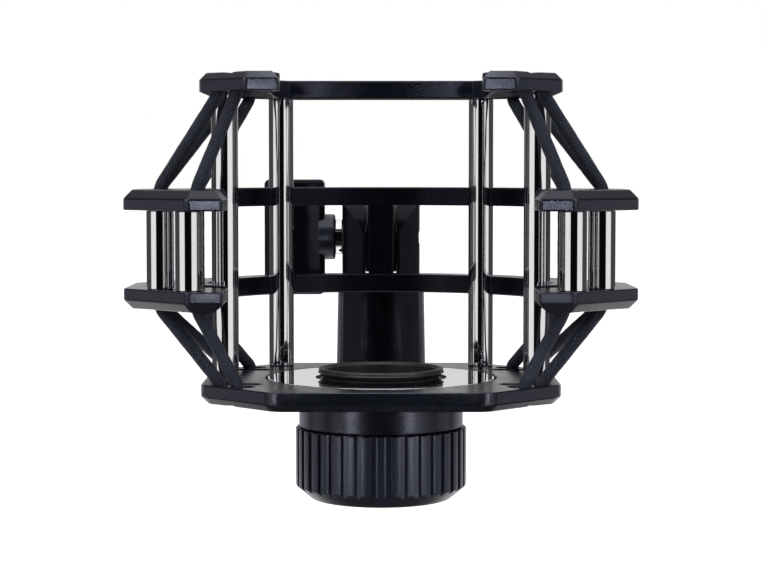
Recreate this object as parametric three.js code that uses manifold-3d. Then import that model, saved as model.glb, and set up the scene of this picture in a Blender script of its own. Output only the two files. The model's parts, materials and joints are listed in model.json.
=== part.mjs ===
// An elastic shock mount for a studio condenser microphone, in millimetres, +Z up.
// The microphone stands in an inner cage on a base plate and is pulled down by a ribbed ring nut.
// Four cord loops hang the cage inside an outer frame, which tilts on a clamped stand post.
// While it is being built, the zero point is the ring nut's axis at the base plate's top face,
// with the open front towards -Y. The finished model is moved so that the zero point is the
// bottom centre of its bounding box.

import * as THREE from 'three';
import { mergeVertices } from 'three/addons/utils/BufferGeometryUtils.js';
import Module from 'manifold-3d';

const wasm = await Module();
wasm.setup();

// ---------------------------------------------------------------- driving dimensions

const GAP = 0.1; // clearance between pieces that fit in one another
const SNUG = 0.05; // clearance between pieces that are fixed to one another
const FAR = 200; // reach of a cutting block
const PAST = 1; // how far a cutting tool runs past a face
const LAP = 2; // how far two shapes run into one another before they are joined
const MERGE_DISTANCE = 1e-4; // corners closer than this are one corner

// Inner cage
const PLATE = { halfWidth: 39.1, halfDepth: 33, corner: 16.3, thickness: 4.2, chamfer: 1.5 };
const BASE_ROUNDING = 6; // radius of the base plate's corners, seen from above
const TOP_ROUNDING = { front: 2, side: 3.5 };
const CAGE_HEIGHT = 63; // between the two plates
const TOP = { thickness: 4.1, front: -27.1, gapHalf: 21.4, sideInner: 24.2, rearInner: 21.6 };
const ROD_RADIUS = 3;
const ROD_FRONT = { x: 34.1, y: -9.8 };
const ROD_REAR = { x: 23.6, y: 26.5 };
const DISC = { outer: 25.4, inner: 14.6, thickness: 1.2, gap: 0.35 };
const SEAL = { outer: 14.2, inner: 12.4, proud: 2.1, bulge: 0.25, bulgeFrom: 0.4, bulgeMiddle: 1.0 };
const MIC_BORE = 12.7; // passes the microphone's threaded foot

// Ring nut and its neck
const NECK = { outer: 18.35, pocket: 15.8, flange: 14.8, flangeThickness: 2, bottom: -10.9, tapFloor: -8.5 };
const NECK_SCREW_DEGREES = [90, 210, 330];
const KNOB = { radius: 19.1, grooveRadius: 18.35, ribs: 36, rim: 0.5, top: -11.2, chamferTop: -23.8 };
const KNOB_FOOT = { radius: 15.6, bottom: -27.1 };
const RIB = { landHalf: 0.3, grooveEdge: 0.64 }; // shares of the pitch from one rib to the next
const SPIGOT = { radius: 14.6, belowPlate: 0.8 };
const CIRCLIP = { inner: 14.0, outer: 15.6, top: -7.5, thickness: 1, gapAngle: 0.5 };

// Outer frame
const RING_THICKNESS = 4.4;
const RING_GAP = 16.8;
const RING_MIDDLE = 29.3; // height of the outer frame's middle
const RING_CHAMFER = 1.9;
const PAD = { gapHalf: 32.9, front: -32.3, faceEnd: 40.5, halfWidth: 55.5, sideStart: -17.3, sideEnd: 4 };
const PAD_ROUNDING = { front: 2.3, side: 3 };
const ARC = { y: 2, inner: 39.3, outer: 46.5 };
// The front rods stand in a bay on each side of the opening: its front edge runs from the gap to
// the bay's side wall, and its rear edge steps in beside the inner cord hole.
const BAY = { frontAtGap: -16.5, side: 39.4, sideFrom: -14.6, sideTo: -6 };
const BAY_STEP = { side: 37.4, from: -4.8, to: -0.2 };
const PILLARS = [{ name: 'front', x: 40.35, y: -27.5 }, { name: 'side', x: 47.1, y: -20.5 }];

// Cords
const CORD_RADIUS = 1.4;
const CORD_SINK = 0.15; // a bend lies this far under the plate's outer face
const SLOT_HALF = 1.7; // half the width of a cord slot, and the radius of a cord hole
const SLOT_A = { y: 15.9, from: 26, to: 36.5, strand: 34.8 };
const SLOT_B = { y: 21.1, from: 27.3, to: 32.3, strand: 30.6 };
const WEB_THICKNESS = 1.2; // bridge that a cord bends round
const CORD_HOLES = {
  front: { outer: { x: 48.2, y: -12 }, inner: { x: 39.3, y: -20.5 } },
  rear: { outer: { x: 49.0, y: -2.6 }, inner: { x: 40.6, y: -2.6 } },
};

// Screws: countersunk, with a blind round socket
const HEAD_RIM = 0.2; // straight edge of a head, above its cone
const SOCKET_DEPTH = 0.8; // share of the socket's radius
const M3 = { shank: 1.45, head: 2.8, hole: 1.6, length: 11, socket: 1.1 };
const ROD_TAP_DEPTH = 8.8;
const PILLAR_TAP_DEPTH = 7.4;
const M2 = { shank: 0.9, head: 1.7, hole: 1.0, length: 6, socket: 0.7 };
const M2_LONG = { ...M2, length: 9.5 };

// Stand side
const PIVOT = { y: 64, z: RING_MIDDLE };
const TONGUE = { half: 3.05, radius: 9.5, clearBelow: 3, setBack: 0.3 };
const EAR = { inner: 3.95, outer: 9.8, radius: 10 };
const POST = { topRadius: 10.95, bottomRadius: 11.5, shoulder: 16, bottom: -12, chamfer: 0.6 };
const ACROSS = 20; // reach of a cutting tool that crosses the post
const SOCKET = { radius: 8.0, depth: 18 };
const ADAPTER = { outer: 7.9, inner: 4.8, length: 12, slotWidth: 2, slotDepth: 1.5, sunk: 0.2 };
const BOLT = { radius: 2.95, hole: 3.1, fromWingEnd: 6, sunk: 0.3 };
const NUT = { acrossFlats: 10, thickness: 3.4, sunk: 0.2 };
const FRICTION_RADIUS = 9;
const WASHER = { radius: 4.4, from: -11.6, to: -9.85 };
const COLLAR = { radius: 5.8, from: -14.35 };
const WING = { from: -29.6, halfHeight: 14.6, thickness: 8, edge: 0.9 };

// ---------------------------------------------------------------- materials

const FINISHES = {
  moulding: { color: 0x24252c, roughness: 0.42, metalness: 0 },
  knob: { color: 0x202127, roughness: 0.5, metalness: 0 },
  chrome: { color: 0xd8d8dc, roughness: 0.06, metalness: 1 },
  post: { color: 0x26262c, roughness: 0.4, metalness: 0.2 },
  rubber: { color: 0x121214, roughness: 0.8, metalness: 0 },
  cord: { color: 0x1b1b20, roughness: 0.85, metalness: 0 },
  screw: { color: 0x2b2b2f, roughness: 0.35, metalness: 1 },
  brass: { color: 0xb08d4a, roughness: 0.35, metalness: 1 },
};

const model = new THREE.Group();

function add(name, geometry, finish) {
  const mesh = new THREE.Mesh(geometry, new THREE.MeshStandardMaterial(FINISHES[finish]));
  mesh.name = name;
  model.add(mesh);
  return mesh;
}

// ---------------------------------------------------------------- solids

function toSolid(geometry) {
  const bare = geometry.clone();
  bare.deleteAttribute('normal');
  bare.deleteAttribute('uv');
  const merged = mergeVertices(bare, MERGE_DISTANCE);
  const corners = merged.index.array;
  const kept = [];
  for (let i = 0; i < corners.length; i += 3) {
    const [a, b, c] = [corners[i], corners[i + 1], corners[i + 2]];
    if (a !== b && b !== c && a !== c) kept.push(a, b, c);
  }
  return new wasm.Manifold(new wasm.Mesh({
    numProp: 3,
    vertProperties: new Float32Array(merged.attributes.position.array),
    triVerts: new Uint32Array(kept),
  }));
}

function toGeometry(solid) {
  const mesh = solid.getMesh();
  const geometry = new THREE.BufferGeometry();
  geometry.setAttribute('position', new THREE.BufferAttribute(mesh.vertProperties, 3));
  geometry.setIndex(new THREE.BufferAttribute(mesh.triVerts, 1));
  geometry.computeVertexNormals();
  return geometry;
}

function cut(body, tools) {
  let solid = toSolid(body);
  for (const tool of tools) solid = solid.subtract(toSolid(tool));
  return toGeometry(solid);
}

function join(bodies) {
  let solid = toSolid(bodies[0]);
  for (const body of bodies.slice(1)) solid = solid.add(toSolid(body));
  return toGeometry(solid);
}

function common(body, other) {
  return toGeometry(toSolid(body).intersect(toSolid(other)));
}

// ---------------------------------------------------------------- shape helpers

const point = (x, y) => new THREE.Vector2(x, y);
const mirrored = (points) => points.map((p) => point(-p.x, p.y)).reverse();

function prism(outline, low, high, curveSegments = 12) {
  const options = { depth: high - low, bevelEnabled: false, curveSegments };
  return new THREE.ExtrudeGeometry(outline, options).translate(0, 0, low);
}

// A prism along X, from an outline drawn in the Y-Z plane.
function prismAlongX(outline, low, high, curveSegments = 12) {
  return prism(outline, low, high, curveSegments).rotateX(Math.PI / 2).rotateZ(Math.PI / 2);
}

// A prism whose upper (side = 1) or lower (side = -1) edge is chamfered all round.
function chamferedPrism(outline, low, high, chamfer, side, curveSegments = 12) {
  const options = {
    depth: high - low,
    bevelThickness: chamfer,
    bevelSize: chamfer,
    bevelOffset: -chamfer,
    bevelSegments: 1,
    curveSegments,
  };
  const body = new THREE.ExtrudeGeometry(outline, options);
  body.translate(0, 0, side > 0 ? low - chamfer : low + chamfer);
  const wasted = side > 0 ? [-FAR, low] : [high, FAR];
  return cut(body, [block([-FAR, FAR], [-FAR, FAR], wasted)]);
}

function block([x0, x1], [y0, y1], [z0, z1]) {
  const box = new THREE.BoxGeometry(x1 - x0, y1 - y0, z1 - z0);
  return box.translate((x0 + x1) / 2, (y0 + y1) / 2, (z0 + z1) / 2);
}

function cylinder(radius, low, high, x = 0, y = 0, segments = 24) {
  const geometry = new THREE.CylinderGeometry(radius, radius, high - low, segments);
  return geometry.rotateX(Math.PI / 2).translate(x, y, (low + high) / 2);
}

// A cylinder along X, centred on the clamp's axis.
function pivotCylinder(radius, from, to, segments = 18) {
  const geometry = new THREE.CylinderGeometry(radius, radius, to - from, segments);
  return geometry.rotateZ(Math.PI / 2).translate((from + to) / 2, PIVOT.y, PIVOT.z);
}

// A turned body about Z. The profile is a list of [radius, height] pairs, walked anticlockwise.
function turned(profile, segments = 32) {
  const points = profile.map(([radius, height]) => point(radius, height));
  return new THREE.LatheGeometry(points, segments).rotateX(Math.PI / 2);
}

// A turned ring: the profile closes on itself.
function turnedRing(profile, segments = 32) {
  return turned([...profile, profile[0]], segments);
}

function washerShape(outer, inner) {
  const shape = new THREE.Shape().absarc(0, 0, outer, 0, 2 * Math.PI);
  shape.holes.push(new THREE.Path().absarc(0, 0, inner, 0, 2 * Math.PI, true));
  return shape;
}

const EIGHTH_TURN = Math.PI / 4;

// An outline's corner that turns an eighth to the left, drawn as an arc. The heading is the
// direction of travel before the corner.
function roundedCorner(at, heading, radius) {
  const steps = 4;
  const trim = radius * Math.tan(EIGHTH_TURN / 2);
  const centreX = at.x - trim * Math.cos(heading) - radius * Math.sin(heading);
  const centreY = at.y - trim * Math.sin(heading) + radius * Math.cos(heading);
  const points = [];
  for (let step = 0; step <= steps; step += 1) {
    const angle = heading + (EIGHTH_TURN * step) / steps;
    points.push(point(centreX + radius * Math.sin(angle), centreY - radius * Math.cos(angle)));
  }
  return points;
}

// A slot with round ends between two points.
function slotShape(a, b, half) {
  const along = Math.atan2(b.y - a.y, b.x - a.x);
  const shape = new THREE.Shape();
  shape.absarc(b.x, b.y, half, along - Math.PI / 2, along + Math.PI / 2);
  shape.absarc(a.x, a.y, half, along + Math.PI / 2, along + 1.5 * Math.PI);
  return shape;
}

// ---------------------------------------------------------------- screws

// Head at z = 0, pointing down.
function screw(size) {
  const cone = size.head - size.shank;
  const socketFloor = -SOCKET_DEPTH * size.socket;
  return turned([
    [0, -size.length],
    [size.shank, -size.length],
    [size.shank, -cone - HEAD_RIM],
    [size.head, -HEAD_RIM],
    [size.head, 0],
    [size.socket, 0],
    [size.socket, socketFloor],
    [0, socketFloor],
  ], 8);
}

// What a screw needs cut out of the plate it goes through.
function screwHole(size, depth) {
  const cone = size.head - size.hole + GAP;
  const rim = HEAD_RIM + GAP;
  return turned([
    [0, -depth],
    [size.hole, -depth],
    [size.hole, -cone - rim],
    [size.head + GAP, -rim],
    [size.head + GAP, PAST],
    [0, PAST],
  ], 10);
}

// side = 1: the screw goes in from above, at height z; side = -1: from below.
function placed(geometry, x, y, z, side) {
  if (side < 0) geometry.rotateX(Math.PI);
  return geometry.translate(x, y, z);
}

// ---------------------------------------------------------------- cord fittings in the plates

// Two through slots and, on the outer face, a sunk channel that hides the cord's bend.
function cordCuts(sx, sy, innerFace, outerFace) {
  const slot = ({ y, from, to }) => slotShape(
    point(sx * (from + SLOT_HALF), sy * y),
    point(sx * (to - SLOT_HALF), sy * y),
    SLOT_HALF,
  );
  const channel = slotShape(
    point(sx * SLOT_A.strand, sy * SLOT_A.y),
    point(sx * SLOT_B.strand, sy * SLOT_B.y),
    SLOT_HALF,
  );
  const outward = Math.sign(outerFace - innerFace);
  const low = Math.min(innerFace, outerFace) - PAST;
  const high = Math.max(innerFace, outerFace) + PAST;
  const webFace = innerFace + outward * WEB_THICKNESS;
  const channelEnds = [webFace, outerFace + outward * PAST].sort((a, b) => a - b);
  return [
    prism(slot(SLOT_A), low, high, 2),
    prism(slot(SLOT_B), low, high, 2),
    prism(channel, ...channelEnds, 2),
  ];
}

const CORNERS = [
  { name: 'front_left', sx: -1, sy: -1 },
  { name: 'front_right', sx: 1, sy: -1 },
  { name: 'rear_left', sx: -1, sy: 1 },
  { name: 'rear_right', sx: 1, sy: 1 },
];

const cageRodAt = ({ sx, sy }) => {
  const rod = sy < 0 ? ROD_FRONT : ROD_REAR;
  return { x: sx * rod.x, y: rod.y };
};

// ---------------------------------------------------------------- inner cage

const TOP_LOW = CAGE_HEIGHT;
const TOP_HIGH = CAGE_HEIGHT + TOP.thickness;
const PLATE_LOW = -PLATE.thickness;

function plateOutline(front, frontRounding, sideRounding) {
  const { halfWidth, halfDepth, corner } = PLATE;
  const onCorner = halfWidth + halfDepth - corner; // |x| + |y| along a corner face
  const right = [
    ...roundedCorner(point(onCorner + front, front), 0, frontRounding),
    ...roundedCorner(point(halfWidth, corner - halfDepth), EIGHTH_TURN, sideRounding),
    ...roundedCorner(point(halfWidth, halfDepth - corner), 2 * EIGHTH_TURN, sideRounding),
    ...roundedCorner(point(halfWidth - corner, halfDepth), 3 * EIGHTH_TURN, sideRounding),
  ];
  return new THREE.Shape([...right, ...mirrored(right)]);
}

function buildBasePlate() {
  const outline = plateOutline(-PLATE.halfDepth, BASE_ROUNDING, BASE_ROUNDING);
  const body = chamferedPrism(outline, PLATE_LOW, 0, PLATE.chamfer, -1);
  const tools = [
    cylinder(DISC.outer + DISC.gap, -DISC.thickness, PAST, 0, 0, 36),
    cylinder(MIC_BORE, PLATE_LOW - PAST, PAST, 0, 0, 24),
  ];
  for (const corner of CORNERS) {
    const { x, y } = cageRodAt(corner);
    tools.push(...cordCuts(corner.sx, corner.sy, 0, PLATE_LOW));
    tools.push(placed(screwHole(M3, PLATE.thickness + PAST), x, y, PLATE_LOW, -1));
  }
  for (const { x, y } of neckScrewPlaces()) {
    tools.push(placed(screwHole(M2, PLATE.thickness + PAST), x, y, -DISC.thickness, 1));
  }
  add('base_plate', cut(body, tools), 'moulding');
}

function buildTopFrame() {
  const outline = plateOutline(TOP.front, TOP_ROUNDING.front, TOP_ROUNDING.side);
  const body = chamferedPrism(outline, TOP_LOW, TOP_HIGH, PLATE.chamfer, 1);
  const step = TOP.sideInner - TOP.gapHalf;
  const right = [
    point(TOP.gapHalf, -FAR),
    point(TOP.gapHalf, -TOP.rearInner),
    point(TOP.sideInner, -TOP.rearInner + step),
    point(TOP.sideInner, TOP.rearInner - step),
    point(TOP.gapHalf, TOP.rearInner),
  ];
  const opening = new THREE.Shape([...right, ...mirrored(right)]);
  const tools = [
    prism(opening, TOP_LOW - PAST, TOP_HIGH + PAST),
    gapChamfer(TOP.gapHalf, TOP.front, -TOP.rearInner, TOP_HIGH, PLATE.chamfer, 1),
  ];
  for (const corner of CORNERS) {
    const { x, y } = cageRodAt(corner);
    tools.push(...cordCuts(corner.sx, corner.sy, TOP_LOW, TOP_HIGH));
    tools.push(placed(screwHole(M3, TOP.thickness + PAST), x, y, TOP_HIGH, 1));
  }
  add('top_frame', cut(body, tools), 'moulding');
}

// A wedge that chamfers the two ends of an open frame, along the gap between them.
function gapChamfer(gapHalf, front, back, face, chamfer, side) {
  const inside = 0.01; // the wedge starts this far inside the gap
  const shape = new THREE.Shape([
    point(-gapHalf + inside, face - side * (chamfer + inside)),
    point(gapHalf - inside, face - side * (chamfer + inside)),
    point(gapHalf + chamfer + PAST, face + side * PAST),
    point(-gapHalf - chamfer - PAST, face + side * PAST),
  ]);
  const length = back - front + 2 * PAST;
  return prism(shape, 0, length).rotateX(Math.PI / 2).translate(0, front - PAST + length, 0);
}

// A rod with a hole in each end, tapped for the given screw.
function tappedRod(low, high, size, depth) {
  return turned([
    [0, low + depth],
    [size.shank + GAP, low + depth],
    [size.shank + GAP, low],
    [ROD_RADIUS, low],
    [ROD_RADIUS, high],
    [size.shank + GAP, high],
    [size.shank + GAP, high - depth],
    [0, high - depth],
  ], 14);
}

function buildCageRods() {
  for (const corner of CORNERS) {
    const { x, y } = cageRodAt(corner);
    const rod = tappedRod(0, CAGE_HEIGHT, M3, ROD_TAP_DEPTH);
    add(`cage_rod_${corner.name}`, rod.translate(x, y, 0), 'chrome');
    add(`rod_screw_top_${corner.name}`, placed(screw(M3), x, y, TOP_HIGH, 1), 'screw');
    add(`rod_screw_base_${corner.name}`, placed(screw(M3), x, y, PLATE_LOW, -1), 'screw');
  }
}

function buildMicrophoneSeat() {
  const disc = turnedRing([
    [DISC.inner, -DISC.thickness],
    [DISC.outer, -DISC.thickness],
    [DISC.outer, 0],
    [DISC.inner, 0],
  ], 36);
  add('trim_disc', disc, 'chrome');
  const waist = SEAL.outer - SEAL.bulge;
  const seal = turnedRing([
    [SEAL.inner, -DISC.thickness],
    [waist, -DISC.thickness],
    [waist, SEAL.bulgeFrom],
    [SEAL.outer, SEAL.bulgeMiddle],
    [waist, SEAL.proud],
    [SEAL.inner, SEAL.proud],
  ], 24);
  add('microphone_seal', seal, 'rubber');
}

// ---------------------------------------------------------------- neck and ring nut

function neckScrewPlaces() {
  const radius = (NECK.outer + NECK.pocket) / 2;
  return NECK_SCREW_DEGREES.map((degrees) => {
    const angle = THREE.MathUtils.degToRad(degrees);
    return { x: radius * Math.cos(angle), y: radius * Math.sin(angle) };
  });
}

function buildNeck() {
  const flangeTop = NECK.bottom + NECK.flangeThickness;
  const body = turnedRing([
    [NECK.flange, NECK.bottom],
    [NECK.outer, NECK.bottom],
    [NECK.outer, PLATE_LOW],
    [NECK.pocket, PLATE_LOW],
    [NECK.pocket, flangeTop],
    [NECK.flange, flangeTop],
  ], 28);
  const places = neckScrewPlaces();
  const holes = places.map(({ x, y }) => cylinder(M2.shank + GAP, NECK.tapFloor, 0, x, y, 8));
  add('neck_sleeve', cut(body, holes), 'moulding');
  places.forEach(({ x, y }, index) => {
    add(`neck_screw_${index + 1}`, placed(screw(M2), x, y, -DISC.thickness, 1), 'screw');
  });
}

// The grip's outline: wide lands with a narrow groove between each two.
function ribbedOutline() {
  const points = [];
  const pitch = (2 * Math.PI) / KNOB.ribs;
  const corners = [
    [-RIB.landHalf, KNOB.radius],
    [RIB.landHalf, KNOB.radius],
    [1 - RIB.grooveEdge, KNOB.grooveRadius],
    [RIB.grooveEdge, KNOB.grooveRadius],
  ];
  for (let rib = 0; rib < KNOB.ribs; rib += 1) {
    for (const [offset, radius] of corners) {
      const angle = (rib + offset) * pitch;
      points.push(point(radius * Math.cos(angle), radius * Math.sin(angle)));
    }
  }
  return new THREE.Shape(points);
}

function buildKnob() {
  const grooveTop = CIRCLIP.top + GAP;
  const grooveLow = CIRCLIP.top - CIRCLIP.thickness - GAP;
  const grooveFloor = CIRCLIP.inner - 3 * GAP;
  const ribsTop = KNOB.top - KNOB.rim;
  const grip = prism(ribbedOutline(), KNOB.chamferTop, ribsTop);
  const bore = MIC_BORE - 2 * GAP;
  const spigotTop = PLATE_LOW - SPIGOT.belowPlate;
  const core = turnedRing([
    [bore, KNOB_FOOT.bottom],
    [KNOB_FOOT.radius, KNOB_FOOT.bottom],
    [KNOB.grooveRadius, KNOB.chamferTop],
    [KNOB.grooveRadius, ribsTop],
    [KNOB.radius, ribsTop],
    [KNOB.radius, KNOB.top],
    [SPIGOT.radius, KNOB.top],
    [SPIGOT.radius, grooveLow],
    [grooveFloor, grooveLow],
    [grooveFloor, grooveTop],
    [SPIGOT.radius, grooveTop],
    [SPIGOT.radius, spigotTop],
    [bore, spigotTop],
  ], 24);
  const gripLow = KNOB.chamferTop - PAST;
  const gripHollow = cylinder(KNOB.grooveRadius - 1, gripLow, ribsTop + PAST, 0, 0, 24);
  add('retaining_knob', join([core, cut(grip, [gripHollow])]), 'knob');

  const clip = new THREE.Shape();
  clip.absarc(0, 0, CIRCLIP.outer, CIRCLIP.gapAngle, 2 * Math.PI - CIRCLIP.gapAngle);
  clip.absarc(0, 0, CIRCLIP.inner, 2 * Math.PI - CIRCLIP.gapAngle, CIRCLIP.gapAngle, true);
  add('knob_circlip', prism(clip, CIRCLIP.top - CIRCLIP.thickness, CIRCLIP.top, 9), 'screw');
}

// ---------------------------------------------------------------- outer frame

const UPPER_LOW = RING_MIDDLE + RING_GAP / 2;
const UPPER_HIGH = UPPER_LOW + RING_THICKNESS;
const LOWER_HIGH = RING_MIDDLE - RING_GAP / 2;
const LOWER_LOW = LOWER_HIGH - RING_THICKNESS;

function outerRingOutline() {
  const reach = Math.hypot(PAD.halfWidth, PAD.sideEnd - ARC.y);
  const toCorner = Math.atan2(PAD.sideEnd - ARC.y, PAD.halfWidth);
  const start = toCorner + Math.acos(ARC.outer / reach); // where the side runs into the arc
  const right = [
    ...roundedCorner(point(PAD.faceEnd, PAD.front), 0, PAD_ROUNDING.front),
    ...roundedCorner(point(PAD.halfWidth, PAD.sideStart), EIGHTH_TURN, PAD_ROUNDING.side),
    point(PAD.halfWidth, PAD.sideEnd),
  ];
  const shape = new THREE.Shape(right);
  shape.absarc(0, ARC.y, ARC.outer, start, Math.PI - start);
  for (const corner of mirrored(right)) shape.lineTo(corner.x, corner.y);
  return shape;
}

// The opening for the cage: a front gap, a bay beside each front rod, and an arc behind.
function ringOpening() {
  const bay = [
    point(PAD.gapHalf, -FAR),
    point(PAD.gapHalf, BAY.frontAtGap),
    point(BAY.side, BAY.sideFrom),
    point(BAY.side, BAY.sideTo),
    point(BAY_STEP.side, BAY_STEP.from),
    point(BAY_STEP.side, BAY_STEP.to),
    point(ARC.inner, ARC.y),
  ];
  const shape = new THREE.Shape(bay);
  shape.absarc(0, ARC.y, ARC.inner, 0, Math.PI);
  for (const corner of mirrored(bay).slice(1)) shape.lineTo(corner.x, corner.y);
  return shape;
}

function buildRing(name, low, high, side) {
  const face = side > 0 ? high : low;
  const body = chamferedPrism(outerRingOutline(), low, high, RING_CHAMFER, side, 10);
  const tools = [
    prism(ringOpening(), low - PAST, high + PAST, 12),
    gapChamfer(PAD.gapHalf, PAD.front, BAY.frontAtGap, face, RING_CHAMFER, side),
    placed(screwHole(M3, RING_THICKNESS + PAST), 0, tongueScrewY(), face, side),
  ];
  for (const sx of [-1, 1]) {
    for (const pillar of PILLARS) {
      tools.push(placed(screwHole(M2, RING_THICKNESS + PAST), sx * pillar.x, pillar.y, face, side));
    }
    for (const pair of Object.values(CORD_HOLES)) {
      for (const hole of Object.values(pair)) {
        tools.push(cylinder(SLOT_HALF, low - PAST, high + PAST, sx * hole.x, hole.y, 8));
      }
    }
  }
  add(name, cut(body, tools), 'moulding');
}

function buildPillars() {
  for (const [sideName, sx] of [['left', -1], ['right', 1]]) {
    for (const pillar of PILLARS) {
      const label = `${pillar.name}_${sideName}`;
      const x = sx * pillar.x;
      const body = tappedRod(LOWER_HIGH, UPPER_LOW, M2_LONG, PILLAR_TAP_DEPTH);
      add(`pillar_${label}`, body.translate(x, pillar.y, 0), 'chrome');
      add(`pillar_screw_top_${label}`, placed(screw(M2_LONG), x, pillar.y, UPPER_HIGH, 1), 'screw');
      add(`pillar_screw_base_${label}`, placed(screw(M2_LONG), x, pillar.y, LOWER_LOW, -1), 'screw');
    }
  }
}

function tongueScrewY() {
  return ARC.y + (ARC.inner + ARC.outer) / 2;
}

function buildTongue() {
  const front = ARC.y + ARC.inner + TONGUE.setBack;
  const shape = new THREE.Shape();
  shape.moveTo(front, LOWER_HIGH);
  shape.lineTo(ARC.y + ARC.outer, LOWER_HIGH);
  shape.lineTo(PIVOT.y, PIVOT.z - TONGUE.radius);
  shape.absarc(PIVOT.y, PIVOT.z, TONGUE.radius, -Math.PI / 2, Math.PI / 2);
  shape.lineTo(ARC.y + ARC.outer, UPPER_LOW);
  shape.lineTo(front, UPPER_LOW);
  const body = prismAlongX(shape, -TONGUE.half, TONGUE.half, 10);
  const y = tongueScrewY();
  const tools = [
    pivotCylinder(BOLT.hole, -ACROSS, ACROSS),
    cylinder(M3.shank + GAP, LOWER_HIGH - PAST, LOWER_HIGH + PILLAR_TAP_DEPTH, 0, y, 16),
    cylinder(M3.shank + GAP, UPPER_LOW - PILLAR_TAP_DEPTH, UPPER_LOW + PAST, 0, y, 16),
  ];
  add('hinge_tongue', cut(body, tools), 'post');
  add('tongue_screw_top', placed(screw(M3), 0, y, UPPER_HIGH, 1), 'screw');
  add('tongue_screw_base', placed(screw(M3), 0, y, LOWER_LOW, -1), 'screw');
}

// ---------------------------------------------------------------- stand post and clamp

function hexagon(acrossFlats) {
  const radius = acrossFlats / Math.sqrt(3);
  const corners = [];
  for (let i = 0; i < 6; i += 1) {
    const angle = (i * Math.PI) / 3;
    corners.push(point(PIVOT.y + radius * Math.cos(angle), PIVOT.z + radius * Math.sin(angle)));
  }
  return new THREE.Shape(corners);
}

function buildPost() {
  const shaft = turned([
    [0, POST.bottom],
    [POST.bottomRadius - POST.chamfer, POST.bottom],
    [POST.bottomRadius, POST.bottom + POST.chamfer],
    [POST.topRadius, POST.shoulder],
    [POST.topRadius, PIVOT.z + EAR.radius],
    [0, PIVOT.z + EAR.radius],
  ], 28).translate(0, PIVOT.y, 0);

  const acrossY = [PIVOT.y - ACROSS, PIVOT.y + ACROSS];
  const cheek = new THREE.Shape();
  cheek.moveTo(PIVOT.y + EAR.radius, POST.shoulder - LAP);
  cheek.absarc(PIVOT.y, PIVOT.z, EAR.radius, 0, Math.PI);
  cheek.lineTo(PIVOT.y - EAR.radius, POST.shoulder - LAP);
  const above = prismAlongX(cheek, -EAR.outer, EAR.outer, 10);
  const below = block([-ACROSS, ACROSS], acrossY, [POST.bottom - PAST, POST.shoulder]);
  const body = common(shaft, join([above, below]));

  const slotFloor = PIVOT.z - TONGUE.radius - TONGUE.clearBelow;
  const nutFace = EAR.outer - NUT.sunk - NUT.thickness - GAP;
  const tools = [
    block([-EAR.inner, EAR.inner], acrossY, [slotFloor, PIVOT.z + ACROSS]),
    pivotCylinder(BOLT.hole, -ACROSS, ACROSS),
    prismAlongX(hexagon(NUT.acrossFlats + 2 * GAP), nutFace, EAR.outer + PAST),
    cylinder(SOCKET.radius, POST.bottom - PAST, POST.bottom + SOCKET.depth, 0, PIVOT.y, 24),
  ];
  add('stand_post', cut(body, tools), 'post');
}

function buildAdapter() {
  const { outer, inner, length, slotWidth, slotDepth, sunk } = ADAPTER;
  const low = POST.bottom + sunk;
  const body = prism(washerShape(outer, inner), low, low + length, 12).translate(0, PIVOT.y, 0);
  const slot = block(
    [-outer - PAST, outer + PAST],
    [PIVOT.y - slotWidth / 2, PIVOT.y + slotWidth / 2],
    [low - PAST, low + slotDepth],
  );
  add('thread_adapter', cut(body, [slot]), 'brass');
}

function buildClamp() {
  const boltFrom = WING.from + BOLT.fromWingEnd;
  add('clamp_bolt', pivotCylinder(BOLT.radius, boltFrom, EAR.outer - BOLT.sunk), 'chrome');

  const washer = washerShape(WASHER.radius, BOLT.hole);
  const washerBody = prismAlongX(washer, WASHER.from, WASHER.to, 8);
  add('clamp_washer', washerBody.translate(0, PIVOT.y, PIVOT.z), 'chrome');

  const nutTo = EAR.outer - NUT.sunk;
  const nut = prismAlongX(hexagon(NUT.acrossFlats), nutTo - NUT.thickness, nutTo);
  add('clamp_nut', cut(nut, [pivotCylinder(BOLT.radius + SNUG, 0, ACROSS)]), 'screw');

  const pad = washerShape(FRICTION_RADIUS, BOLT.hole);
  const padOuter = EAR.inner - GAP;
  const padInner = TONGUE.half + GAP;
  for (const [sideName, from, to] of [['left', -padOuter, -padInner], ['right', padInner, padOuter]]) {
    const body = prismAlongX(pad, from, to, 9).translate(0, PIVOT.y, PIVOT.z);
    add(`friction_washer_${sideName}`, body, 'rubber');
  }

  const { edge, halfHeight, thickness } = WING;
  const width = COLLAR.from - WING.from;
  const face = new THREE.Shape([
    point(-width / 2 + edge, -halfHeight + edge),
    point(width / 2 - edge, -halfHeight + edge),
    point(width / 2 - edge, halfHeight - edge),
    point(-width / 2 + edge, halfHeight - edge),
  ]);
  const options = {
    depth: thickness - 2 * edge,
    bevelThickness: edge,
    bevelSize: edge,
    bevelSegments: 2,
  };
  const paddle = new THREE.ExtrudeGeometry(face, options)
    .translate(0, 0, -thickness / 2 + edge)
    .rotateX(Math.PI / 2)
    .translate((WING.from + COLLAR.from) / 2, PIVOT.y, PIVOT.z);
  const collar = pivotCylinder(COLLAR.radius, COLLAR.from - LAP, WASHER.from - SNUG, 18);
  const socket = pivotCylinder(BOLT.radius + SNUG, boltFrom - GAP, WASHER.from + PAST);
  add('wing_handle', cut(join([paddle, collar]), [socket]), 'knob');
}

// ---------------------------------------------------------------- cords

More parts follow.
